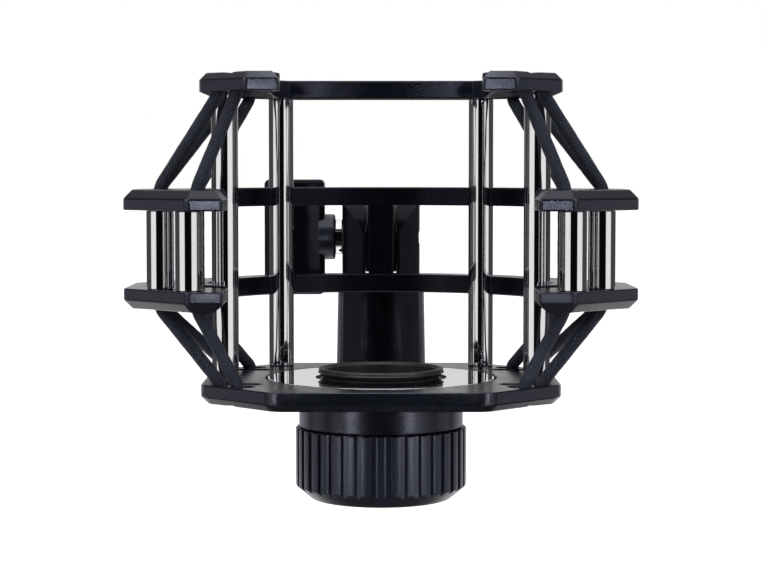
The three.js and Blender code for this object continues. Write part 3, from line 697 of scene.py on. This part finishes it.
def top_frame():
    step = TOP["side"] - TOP["gap"]
    right = [
        (TOP["gap"], TOP["front"], 0.5, 1),
        (PLATE["on_corner"] + TOP["front"], TOP["front"], 2, 1),
        (PLATE["half_width"], -PLATE["corner_y"], 3.5, 1),
        (PLATE["half_width"], PLATE["corner_y"], 3.5, 1),
        (PLATE["on_corner"] - PLATE["half_depth"], PLATE["half_depth"], 3.5, 1),
    ]
    left = [(-x, y, r, 1) for x, y, r, _ in reversed(right)]
    inner_left = [
        (-TOP["gap"], -TOP["rear"], 0.5, 0),
        (-TOP["side"], -TOP["rear"] + step, 0.8, 0),
        (-TOP["side"], TOP["rear"] - step, 0.8, 0),
        (-TOP["gap"], TOP["rear"], 0.8, 0),
    ]
    inner_right = [(-x, y, r, 0) for x, y, r, _ in reversed(inner_left)]
    inner_right[-1] = (TOP["gap"], -TOP["rear"], 0.5, 1)
    plain, wide = edge(TOP_LOW, TOP_HIGH, 1, 0.3, 0.3), edge(TOP_LOW, TOP_HIGH, 1, 1.5, 0.3)
    loop = (right + left + inner_left + inner_right, plain, wide)
    obj = shape("top_frame_shell", *slab_mesh([loop]))
    cuts = [cut for _, sx, sy in CORNERS for cut in cord_cuts(sx, sy, TOP_LOW, TOP_HIGH)]
    carve(obj, cuts + [sunk(x, y, TOP_HIGH, TOP_LOW) for x, y in rod_places()])
    finish_piece(obj, "top_frame", "moulding", 32)


def outer_ring(node, low, high, side):
    reach = math.hypot(PAD["half"], PAD["side_end"] - ARC["y"])
    start = math.atan2(PAD["side_end"] - ARC["y"], PAD["half"]) + math.acos(ARC["outer"] / reach)
    right = [
        (PAD["gap"], PAD["front"], 0.6, 1),
        (PAD["face_end"], PAD["front"], 2.3, 1),
        (PAD["half"], PAD["side_start"], 3, 1),
        (PAD["half"], PAD["side_end"], 1.6, 1),
    ]
    back = [(p.x, p.y, 0, 1) for p in arc((0, ARC["y"]), ARC["outer"], start, math.pi - start, 96)]
    left = [(-x, y, r, 1) for x, y, r, _ in reversed(right)]
    bay = [(-PAD["gap"], -16.5, 0.8, 0), (-39.4, -14.6, 0.8, 0), (-39.4, -6.0, 0.5, 0),
           (-37.4, -4.8, 0.5, 0), (-37.4, -0.2, 0.5, 0), (-ARC["inner"], ARC["y"], 0.8, 0)]
    inside = arc((0, ARC["y"]), ARC["inner"], math.pi, 0, 104)[2:-2]
    inner = [(p.x, p.y, 0, 0) for p in inside]
    bay_right = [(-x, y, r, 0) for x, y, r, _ in reversed(bay)]
    bay_right[-1] = (PAD["gap"], -16.5, 0.8, 1)
    plain, wide = edge(low, high, side, 0.3, 0.3), edge(low, high, side, 1.9, 0.35)
    loops = [(right + back + left + bay + inner + bay_right, plain, wide)]
    face, inside_face = (high, low) if side > 0 else (low, high)
    cuts = [sunk(0, middle("tongue_screw_top").y, face, inside_face)]
    for sx in (-1, 1):
        word = "left" if sx < 0 else "right"
        for name in ("front", "side"):
            at = middle(f"pillar_{name}_{word}")
            cuts.append(sunk(at.x, at.y, face, inside_face, 1.1, 1.8))
        for pair in CORD_HOLES.values():
            for at in pair:
                loops.append(even(hole(sx * at.x, at.y, SLOT_HALF), edge(low, high, side, FLARE, 0.3)))
    obj = shape(f"{node}_shell", *slab_mesh(loops))
    carve(obj, cuts)
    finish_piece(obj, node, "moulding", 32)


# ---------------- turned pieces


def rod(node):
    low, high = local_box(node)
    profile = rod_profile(ROD_RADIUS, low.z, high.z, 0.25, 0.25)
    turned(node, "plated", profile, 72, "chrome", 50, middle(node)[:2])


def seat():
    top, floor = 0.0, -DISC["thickness"]
    disc = fillet([(DISC["inner"], floor, 0.1), (DISC["outer"], floor, 0.1), (DISC["outer"], top, 0.22),
                   (DISC["inner"], top, 0.15)], 4)
    turned("trim_disc", "plated", disc, 144, "disc", 50)
    proud = local_box("microphone_seal")[1].z
    inner, waist, lip = SEAL["inner"], SEAL["waist"], SEAL["lip"]
    seal = fillet([
        (inner, floor, 0.1), (waist, floor, 0.1), (waist, 0.12, 0.12), (lip - 0.4, 0.92, 0.15),
        (lip, 1.1, 0.05), (lip, 1.22, 0.05), (lip - 0.18, 1.38, 0.08), (lip - 0.08, proud, 0.3),
        (inner + 0.5, proud, 0.3), (inner + 0.3, 1.7, 0.1), (inner, 1.55, 0.15),
    ], 4)
    turned("microphone_seal", "ring", seal, 128, "rubber", 60)


def neck():
    low, high = local_box("neck_sleeve")
    outer, pocket, flange = high.x, NECK["pocket"], NECK["flange"]
    flange_top = low.z + NECK["thickness"]
    profile = fillet([
        (flange, low.z, 0.2), (outer, low.z, 0.35), (outer, high.z - 0.5, 0.15), (outer - 0.3, high.z, 0.1),
        (pocket, high.z, 0.1), (pocket, flange_top, 0.3), (flange, flange_top, 0.2),
    ], 4)
    turned("neck_sleeve", "shell", profile, 128, "moulding", 50)


def ring_nut():
    """The ribbed nut: a grid of rings whose radius follows the ribs, and a threaded bore.

    A ring is (height, kind, radius), where the kind is 1 with ribs, 0 without, or "thread"."""
    top, cone_top, land, foot, bore = (KNOB[key] for key in ("top", "cone_top", "land", "foot", "bore"))
    spigot, spigot_top, clip_floor = KNOB["spigot"], KNOB["spigot_top"], KNOB["clip_floor"]
    per_rib, land_share, wall_share, crown_depth = 20, 0.29, 0.06, 0.06
    count = RIBS * per_rib

    def rib_depth(angle):
        share = abs((angle / (2 * math.pi) * RIBS + 0.5) % 1 - 0.5)
        wall = min(1.0, max(0.0, (share - land_share) / wall_share))
        crown = crown_depth * min(1.0, share / land_share) ** 2
        return crown * (1 - wall) + (land - KNOB["groove"]) * wall * wall * (3 - 2 * wall)

    heights = [(top, 1.0, land - 0.16), (top - 0.05, 1.0, land - 0.06), (top - 0.15, 1.0, land)]
    heights += [(-18.0, 1.0, land), (cone_top + 0.1, 1.0, land), (cone_top - 0.02, 1.0, land - 0.05)]
    for down in (0.15, 0.4, 0.66, 0.9, 1.5, 2.2):
        share = (cone_top - down - KNOB_FOOT) / (cone_top - KNOB_FOOT)
        heights.append((cone_top - down, 1.0, foot + (land - foot) * share))
    for up, radius in ((0.3, foot + 0.3), (0.1, foot + 0.02), (0, foot - 0.3), (0, bore + 0.5),
                       (0.12, bore + 0.3), (0.5, bore + 0.08)):
        heights.append((KNOB_FOOT + up, 0.0, radius))
    thread_low, thread_high, pitch, thread_depth = KNOB_FOOT + 1.2, -5.6, 1.27, 0.42
    thread_steps = 84
    for k in range(thread_steps + 1):
        heights.append((thread_low + (thread_high - thread_low) * k / thread_steps, "thread", bore))
    for z, radius in ((spigot_top, bore + 0.25), (spigot_top, spigot - 0.2), (spigot_top - 0.2, spigot),
                      (KNOB["clip_top"], spigot), (KNOB["clip_top"], clip_floor),
                      (KNOB["clip_low"], clip_floor), (KNOB["clip_low"], spigot), (top, spigot)):
        heights.append((z, 0.0, radius))
    verts = []
    for z, kind, radius in heights:
        for index in range(count):
            angle = 2 * math.pi * index / count
            r = radius
            if kind == "thread":
                fade = min(1.0, (z - thread_low) / 1.5, (thread_high - z) / 1.5)
                phase = (z / pitch - angle / (2 * math.pi)) % 1
                crest = min(1.0, max(0.0, 1.9 * (0.5 - abs(phase - 0.5))))
                r = radius - thread_depth * max(0.0, fade) * crest
            elif kind:
                r = min(radius, land - kind * rib_depth(angle))
            verts.append((r * math.cos(angle), r * math.sin(angle), z))
    new_piece("retaining_knob", "grip", verts, ring_faces(len(heights), count), "knob", 42)


def ring_faces(rows, count):
    """Faces of a ring-shaped grid of rows, each of the same number of points."""
    faces = []
    for row in range(rows):
        a, b = row * count, ((row + 1) % rows) * count
        faces += [(a + i, a + (i + 1) % count, b + (i + 1) % count, b + i) for i in range(count)]
    return faces


def adapter():
    """A brass bush with a thread inside and out, and a slot for a coin in its lower face."""
    low, high = local_box("thread_adapter")
    outer, inner, count, steps = ADAPTER["outer"], ADAPTER["inner"], 80, 96
    length = high.z - low.z
    rows = [(0.0, inner + 0.5, 0, 0), (0.0, outer - 0.5, 0, 0)]
    rows += [(length * k / steps, outer, ADAPTER["outer_pitch"], -0.35) for k in range(1, steps)]
    rows += [(length, outer - 0.5, 0, 0), (length, inner + 0.5, 0, 0)]
    rows += [(length * k / steps, inner, ADAPTER["inner_pitch"], 0.45) for k in range(steps - 1, 0, -1)]
    verts = []
    for height, radius, pitch, depth in rows:
        for index in range(count):
            angle = 2 * math.pi * index / count
            r = radius
            if pitch:
                phase = (height / pitch - angle / (2 * math.pi)) % 1
                fade = min(1.0, height / 0.8, (length - height) / 0.8)
                r += depth * (1 - 2 * abs(phase - 0.5)) * fade
            verts.append((r * math.cos(angle), PIVOT_Y + r * math.sin(angle), low.z + height))
    obj = shape("thread_adapter_bush", verts, ring_faces(len(rows), count))
    block = prism_mesh(rectangle(-9, 9, PIVOT_Y - 1, PIVOT_Y + 1), low.z - 1, low.z + ADAPTER["slot_depth"])
    carve(obj, [(block, "DIFFERENCE")])
    finish_piece(obj, "thread_adapter", "brass", 35)


def screw_piece(node, big):
    """A blackened countersunk screw with a hexagon socket."""
    low, high = local_box(node)
    at = middle(node)
    shank, head, socket = (1.45, 2.8, 1.1) if big else (0.9, 1.7, 0.7)
    length = high.z - low.z
    cone = head - shank
    profile = [
        (0, -length), (shank - 0.3, -length), (shank, -length + 0.4), (shank, -cone - 0.2),
        (head - 0.05, -0.28), (head, -0.18), (head - 0.03, -0.06), (head - 0.15, 0), (socket * 1.28, 0),
        (socket * 1.06, -0.06, "hex"), (socket, -0.14, "hex"), (socket, -0.9 * socket, "hex"),
        (socket * 0.35, -1.05 * socket), (0, -1.1 * socket),
    ]
    down = "_base_" in node or node.endswith("_base")
    verts, faces = lathe_mesh(profile, 48)
    flip = -1 if down else 1
    face = low.z if down else high.z
    verts = [(at.x + x, at.y + y, face + flip * z) for x, y, z in verts]
    new_piece(node, "head", verts, faces, "screw", 32)


# ---------------- stand side


def tongue():
    low, high = local_box("hinge_tongue")
    back = ARC["y"] + ARC["outer"]
    radius = (high.z - low.z) / 2
    run = [(low.y, LOWER_HIGH, 0), (back, LOWER_HIGH, 1.5), (PIVOT_Y, PIVOT_Z - radius, 0)]
    points = fillet(run, 5, closed=False)
    points += arc((PIVOT_Y, PIVOT_Z), radius, -math.pi / 2, math.pi / 2, 40)[1:]
    points += [Vector((back, UPPER_LOW)), Vector((low.y, UPPER_LOW))]
    profile = edge(low.x, high.x, 1, 0.35, 0.3)
    bore = hole(PIVOT_Y, PIVOT_Z, BOLT_HOLE, 48)
    loops = [even(points, profile), even(bore, edge(low.x, high.x, 1, 0.25, 0.25))]
    verts, faces = slab_mesh(loops)
    verts = [(z, x, y) for x, y, z in verts]
    new_piece("hinge_tongue", "cast", verts, faces, "post", 32)


def post():
    """A turned shaft, cut to two ears above its shoulder, with a slot, a bolt hole and a socket."""
    low = local_box("stand_post")[0].z
    shoulder, top_radius = POST["shoulder"], POST["top_radius"]
    ear_outer, ear_radius = EAR["outer"], EAR["radius"]
    above, across = 60, 20
    shaft = fillet([(0, low, 0), (POST["bottom_radius"], low, 0.7), (top_radius, shoulder, 0),
                    (top_radius, 45, 0), (0, 45, 0)], 4)
    obj = shape("stand_post_cast", *lathe_mesh(shaft, 96, (0, PIVOT_Y)))
    front, back = PIVOT_Y - across, PIVOT_Y + across
    keep = [Vector((front, low - 5)), Vector((back, low - 5)), Vector((back, shoulder))]
    keep.append(Vector((PIVOT_Y + ear_radius, shoulder)))
    keep += arc((PIVOT_Y, PIVOT_Z), ear_radius, 0, math.pi, 48)
    keep += [Vector((PIVOT_Y - ear_radius, shoulder)), Vector((front, shoulder))]
    steps = [(prism_mesh(keep, -30, 30, "x"), "INTERSECT")]
    for a, b in ((-30.0, -ear_outer), (ear_outer, 30.0)):
        steps.append((prism_mesh(rectangle(a, b, front, back), shoulder, above), "DIFFERENCE"))
    slot_half, slot_floor = EAR["inner"], PIVOT_Z - TONGUE_ROOM["radius"] - TONGUE_ROOM["below"]
    slot = fillet([(-slot_half, slot_floor, 0.8), (slot_half, slot_floor, 0.8), (slot_half, above, 0),
                   (-slot_half, above, 0)], 4)
    slot_verts, slot_faces = prism_mesh(slot, PIVOT_Y - 25, PIVOT_Y + 25)
    slot_verts = [(x, z, y) for x, y, z in slot_verts]
    bore = arc((PIVOT_Y, PIVOT_Z), BOLT_HOLE, 0, 2 * math.pi * 47 / 48, 47)
    hexagon = arc((PIVOT_Y, PIVOT_Z), NUT_POCKET["corner"], 0, 5 * math.pi / 3, 5)
    radius, ceiling = POST["socket"], low + POST["socket_depth"]
    socket = [(0, low - 1), (radius + 0.5, low - 1), (radius + 0.5, low), (radius, low + 0.5),
              (radius, ceiling), (0, ceiling)]
    steps += [
        ((slot_verts, slot_faces), "DIFFERENCE"),
        (prism_mesh(bore, -across, across, "x"), "DIFFERENCE"),
        (prism_mesh(hexagon, NUT_POCKET["floor"], 12, "x"), "DIFFERENCE"),
        (lathe_mesh(socket, 72, (0, PIVOT_Y)), "DIFFERENCE"),
    ]
    carve(obj, steps)
    soften_edges(obj, 0.4)
    finish_piece(obj, "stand_post", "post", 32)


def clamp():
    """The wing handle with its bolt, and the washers."""
    wing_low, wing_high = local_box("wing_handle")
    collar_from, half_t = COLLAR["from"], WING_HALF_THICKNESS
    paddle_x, half_w = (wing_low.x + collar_from) / 2, (collar_from - wing_low.x) / 2
    half_h = (wing_high.z - wing_low.z) / 2
    outline = fillet([(p.x, p.y, 1.3) for p in rectangle(-half_w, half_w, -half_h, half_h)], 6)
    round_edge = fillet([(1.22, -half_t, 0), (0, -half_t, 1.2), (0, half_t, 1.2), (1.22, half_t, 0)], 6,
                        closed=False)
    verts, faces = slab_mesh([even(outline, [tuple(p) for p in round_edge])])
    verts = [(paddle_x + x, PIVOT_Y + z, PIVOT_Z + y) for x, y, z in verts]
    new_piece("wing_handle", "paddle", verts, faces, "post", 40)
    pivot = (PIVOT_Y, PIVOT_Z)
    inner, outer, root = BOLT_RADIUS + 0.1, COLLAR["radius"], collar_from - COLLAR["lap"]
    tip = wing_high.x
    collar = fillet([(inner, root, 0), (outer, root, 0), (outer, tip, 0.6), (inner, tip, 0.2)], 4)
    turned("wing_handle", "collar", collar, 64, "knob", 40, pivot, "x")
    low, high = local_box("clamp_bolt")
    bolt = rod_profile(BOLT_RADIUS, low.x, high.x, 0.3, 0.45)
    turned("clamp_bolt", "plated", bolt, 48, "chrome", 40, pivot, "x")
    for node, look, outer in (("clamp_washer", "chrome", 4.4), ("friction_washer_left", "rubber", 9.0),
                              ("friction_washer_right", "rubber", 9.0)):
        low, high = local_box(node)
        ring = fillet([(BOLT_HOLE, low.x, 0.1), (outer, low.x, 0.2), (outer, high.x, 0.2),
                       (BOLT_HOLE, high.x, 0.1)], 3)
        turned(node, "ring", ring, 64, look, 50, pivot, "x")


# ---------------- cords


def bent_run(corners, steps=7):
    """Points along a run of (position, trim), with each inner corner rounded."""
    points = [corners[0][0]]
    for before, here, after in zip(corners, corners[1:], corners[2:]):
        at, trim = here
        start = at + (before[0] - at).normalized() * trim
        end = at + (after[0] - at).normalized() * trim
        for step in range(steps + 1):
            t = step / steps
            points.append(start * (1 - t) ** 2 + at * 2 * t * (1 - t) + end * t * t)
    points.append(corners[-1][0])
    return points


def even_steps(points, step):
    lengths = [0.0]
    for a, b in zip(points, points[1:]):
        lengths.append(lengths[-1] + (b - a).length)
    count = max(2, round(lengths[-1] / step))
    out, k = [], 0
    for index in range(count + 1):
        want = lengths[-1] * index / count
        while k < len(points) - 2 and lengths[k + 1] < want:
            k += 1
        share = (want - lengths[k]) / max(1e-9, lengths[k + 1] - lengths[k])
        out.append(points[k].lerp(points[k + 1], min(1.0, share)))
    return out


def tube(points, radius, around, wave):
    """A tube with frames carried along it, a slightly uneven radius, and a map for the braid."""
    rings, side = [], Vector((0, 1, 0))
    travelled = 0.0
    width = 2 * math.pi * radius / BRAID_STRANDS
    runs = []
    for index, here in enumerate(points):
        before, after = points[max(0, index - 1)], points[min(len(points) - 1, index + 1)]
        along = (after - before).normalized()
        side = (side - along * side.dot(along)).normalized()
        other = along.cross(side)
        if index:
            travelled += (here - points[index - 1]).length
        runs.append(travelled / width)
        long_wave = 0.012 * math.sin(travelled * 0.9 + wave)
        short_wave = 0.008 * math.sin(travelled * 2.3 + 2 * wave)
        swell = min(radius * (1 + long_wave + short_wave), radius * 1.015)
        angles = [2 * math.pi * k / around for k in range(around)]
        rings.append([here + (side * math.cos(a) + other * math.sin(a)) * swell for a in angles])
    verts = [v for ring in rings for v in ring]
    faces, uvs = [], []
    for row in range(len(rings) - 1):
        for k in range(around):
            n = (k + 1) % around
            a, b = row * around, (row + 1) * around
            faces.append((a + k, a + n, b + n, b + k))
            u0, u1 = k / around, (k + 1) / around
            uvs += [(u0, runs[row]), (u1, runs[row]), (u1, runs[row + 1]), (u0, runs[row + 1])]
    for row, order in ((0, -1), (len(rings) - 1, 1)):
        ring = [row * around + k for k in range(around)][::order]
        faces.append(tuple(ring))
        uvs += [(0.0, 0.0)] * around
    return verts, faces, uvs


def cords():
    bend, clear = CORD_RADIUS + 0.15, 0.25
    for number, (name, sx, sy) in enumerate(CORNERS):
        outer, inner = CORD_HOLES["front" if sy < 0 else "rear"]

        def at(p, z, mirror_y=False):
            return Vector((sx * p.x, (sy if mirror_y else 1) * p.y, z))

        halves = (
            ("upper", UPPER_HIGH + clear, TOP_LOW - clear, TOP_HIGH - bend),
            ("lower", LOWER_LOW - clear, clear, PLATE_LOW + bend),
        )
        for label, ring_z, plate_z, bridge_z in halves:
            run = []
            for ring_hole, strand in ((outer, STRAND_A), (inner, STRAND_B)):
                half = [(at(ring_hole, RING_MIDDLE), 0), (at(ring_hole, ring_z), 1.7),
                        (at(strand, plate_z, True), 1.5), (at(strand, bridge_z, True), 1.7)]
                run += half[::-1] if run else half
            points = even_steps(bent_run(run), 0.5)
            verts, faces, uvs = tube(points, CORD_RADIUS * 0.985, 28, number * 1.7 + (label == "lower"))
            obj = shape(f"cord_{name}_{label}", verts, faces, uvs)
            finish_piece(obj, f"cord_{name}", "cord", 80, blended=True)
            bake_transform(obj)


# ---------------- build

base_plate()
top_frame()
outer_ring("upper_ring", UPPER_LOW, UPPER_HIGH, 1)
outer_ring("lower_ring", LOWER_LOW, LOWER_HIGH, -1)
for node in BODY_OF:
    if node.startswith(("cage_rod_", "pillar_front", "pillar_side")):
        rod(node)
    elif "screw" in node:
        screw_piece(node, not node.startswith(("neck_", "pillar_")))
seat()
neck()
ring_nut()
adapter()
tongue()
post()
clamp()
cords()

# The nut and the circlip keep their CAD shapes, with softer edges and the screws' material.
for node in ("clamp_nut", "knob_circlip"):
    part = frame["nodes"][node]
    part.data.materials.clear()
    part.data.materials.append(MATERIALS["screw"])
    soften_edges(part, 0.18, 30, 2)

# ---------------- stage, light and camera


def stage():
    """A pale floor, low enough for the frame to tilt down to its stop above it.

    Reflections show it only close to the object and behind it, and see past it elsewhere."""
    size = 6.0
    tilt_room = 0.03
    floor_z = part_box("retaining_knob")[0].z - tilt_room
    mesh = bpy.data.meshes.new("floor")
    corners = [(p.x, p.y, floor_z) for p in rectangle(-size, size, -size, size)]
    mesh.from_pydata(corners, [], [(0, 1, 2, 3)])
    floor = bpy.data.objects.new("floor", mesh)
    SCENE.collection.objects.link(floor)
    made, nodes, at, shader = material("pale_floor")
    rays = nodes.add("ShaderNodeLightPath")
    apart = nodes.add("ShaderNodeSeparateXYZ", {0: at})
    reach = nodes.add("ShaderNodeVectorMath", {0: at}, operation="LENGTH").outputs["Value"]
    behind = nodes.ramp(apart.outputs[1], -0.02, 0.02)
    close = nodes.times(nodes.ramp(reach, 0.16, 0.24, 1.0, 0.0), behind)
    mirrored = nodes.times(rays.outputs["Is Glossy Ray"], close)
    seen = nodes.times(rays.outputs["Is Camera Ray"], 0.75)
    nodes.feed(shader, {
        "Base Color": nodes.mix(nodes.noise(at, 8, 3), grey(0.86), grey(0.9)),
        "Roughness": 0.9,
        "Specular IOR Level": 0.0,
        "Emission Color": (1.0, 1.0, 1.0, 1.0),
        "Emission Strength": nodes.plus(seen, nodes.times(mirrored, 0.8)),
    })
    gone = nodes.math("SUBTRACT", rays.outputs["Is Glossy Ray"], mirrored)
    clear = nodes.add("ShaderNodeBsdfTransparent")
    both = nodes.add("ShaderNodeMixShader", {0: gone, 1: shader.outputs[0], 2: clear.outputs[0]})
    output = next(node for node in made.node_tree.nodes if node.type == "OUTPUT_MATERIAL")
    nodes.feed(output, {"Surface": both.outputs[0]})
    mesh.materials.append(made)
    floor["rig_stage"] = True


STRIP_TURN = math.radians(4.5)


def softbox(name, place, aim, width, height, power, dark_only=True, spread=math.pi):
    data = bpy.data.lights.new(name, "AREA")
    data.shape = "RECTANGLE"
    data.size, data.size_y, data.energy, data.spread = width, height, power, spread
    if dark_only:
        data.color = (0.88, 0.89, 1.0)
    lamp = bpy.data.objects.new(name, data)
    lamp.location = place
    lamp.rotation_euler = (Vector(aim) - Vector(place)).to_track_quat("-Z", "Y").to_euler()
    lamp.visible_camera = False
    SCENE.collection.objects.link(lamp)
    if dark_only:
        lamp.light_linking.receiver_collection = DARK


def world():
    """White to the camera. Reflections see a dark camera side, a panel on each side, and a bright
    wall behind, above the horizon."""
    made = bpy.data.worlds.new("studio")
    made.use_nodes = True
    SCENE.world = made
    nodes = Nodes(made.node_tree)
    direction = nodes.add("ShaderNodeTexCoord").outputs["Generated"]
    apart = nodes.add("ShaderNodeSeparateXYZ", {0: direction})
    backwards = nodes.times(apart.outputs[1], -1.0)
    azimuth = nodes.math("ABSOLUTE", nodes.math("ARCTAN2", apart.outputs[0], backwards))
    degrees = nodes.times(azimuth, 180 / math.pi)
    level = nodes.ramp(degrees, 27, 31, 0.003, 0.95)
    level = nodes.math("MINIMUM", level, nodes.ramp(degrees, 72, 78, 0.95, 0.065))
    above = nodes.ramp(apart.outputs[2], -0.02, 0.0)
    wall = nodes.times(nodes.ramp(degrees, 150, 160, 0.0, 0.75), above)
    level = nodes.math("MAXIMUM", level, wall)
    upward = nodes.ramp(apart.outputs[2], 0.45, 0.75, 0.0, 1.0)
    seen = nodes.plus(level, nodes.times(upward, 0.5))
    rays = nodes.add("ShaderNodeLightPath")
    lit = nodes.ramp(apart.outputs[2], -0.3, 0.9, 0.2, 0.6)
    strength = nodes.plus(nodes.times(seen, rays.outputs["Is Glossy Ray"]),
                          nodes.times(lit, rays.outputs["Is Diffuse Ray"]))
    strength = nodes.plus(strength, rays.outputs["Is Camera Ray"])
    background = nodes.add("ShaderNodeBackground", {"Color": (1.0, 1.0, 1.0, 1.0), "Strength": strength})
    nodes.add("ShaderNodeOutputWorld", {"Surface": background.outputs[0]})


VIEW = {"lens": 94.5, "distance": 447.0, "height": 46.3, "aim_height": 21.5}


def camera():
    data = bpy.data.cameras.new("view")
    data.lens, data.sensor_width = VIEW["lens"], 36.0
    data.clip_start, data.clip_end = 0.01, 20.0
    obj = bpy.data.objects.new("view", data)
    place = ORIGIN + Vector((0, -VIEW["distance"], VIEW["height"])) * MM
    aim = ORIGIN + Vector((0, 0, VIEW["aim_height"])) * MM
    obj.location = place
    obj.rotation_euler = (aim - place).to_track_quat("-Z", "Y").to_euler()
    SCENE.collection.objects.link(obj)
    SCENE.camera = obj


stage()
world()
camera()
MIDDLE = ORIGIN + Vector((0, 0, 30)) * MM
DARK = bpy.data.collections.new("dark_pieces")
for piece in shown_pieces():
    if piece.get("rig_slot") != "chrome":
        DARK.objects.link(piece)
softbox("top_box", MIDDLE + Vector((0, -0.05, 0.55)), MIDDLE, 0.55, 0.45, 0.7, dark_only=False)
overhead = ORIGIN + Vector((0, -20, 125)) * MM
softbox("top_strip", overhead, ORIGIN + Vector((0, -20, 0)) * MM, 0.056, 0.06, 0.03)
for side in (-1, 1):
    word = "left" if side < 0 else "right"
    softbox(f"{word}_box", MIDDLE + Vector((side * 0.55, -0.45, 0.35)), MIDDLE, 0.4, 0.5, 1.8)
    softbox(f"{word}_flank", MIDDLE + Vector((side * 0.6, 0.07, -0.03)), MIDDLE, 0.3, 0.3, 0.22)
    softbox(f"{word}_rim", MIDDLE + Vector((side * 0.6, 0.85, 0.0)), MIDDLE, 0.8, 0.7, 1.3)
    strip = ORIGIN + Vector((side * 49, -250, 47)) * MM
    along = strip + Vector((-side * math.sin(STRIP_TURN), math.cos(STRIP_TURN), 0))
    softbox(f"{word}_strip", strip, along, 0.033, 0.09, 0.0009, spread=math.radians(5))
    low = ORIGIN + Vector((side * 290, -340, -14)) * MM
    knob_front = ORIGIN + Vector((side * 10, -20, -14)) * MM
    softbox(f"{word}_low", low, knob_front, 0.26, 0.02, 0.006, spread=math.radians(9))
SCENE.view_settings.view_transform = "Standard"
SCENE.view_settings.look = "None"
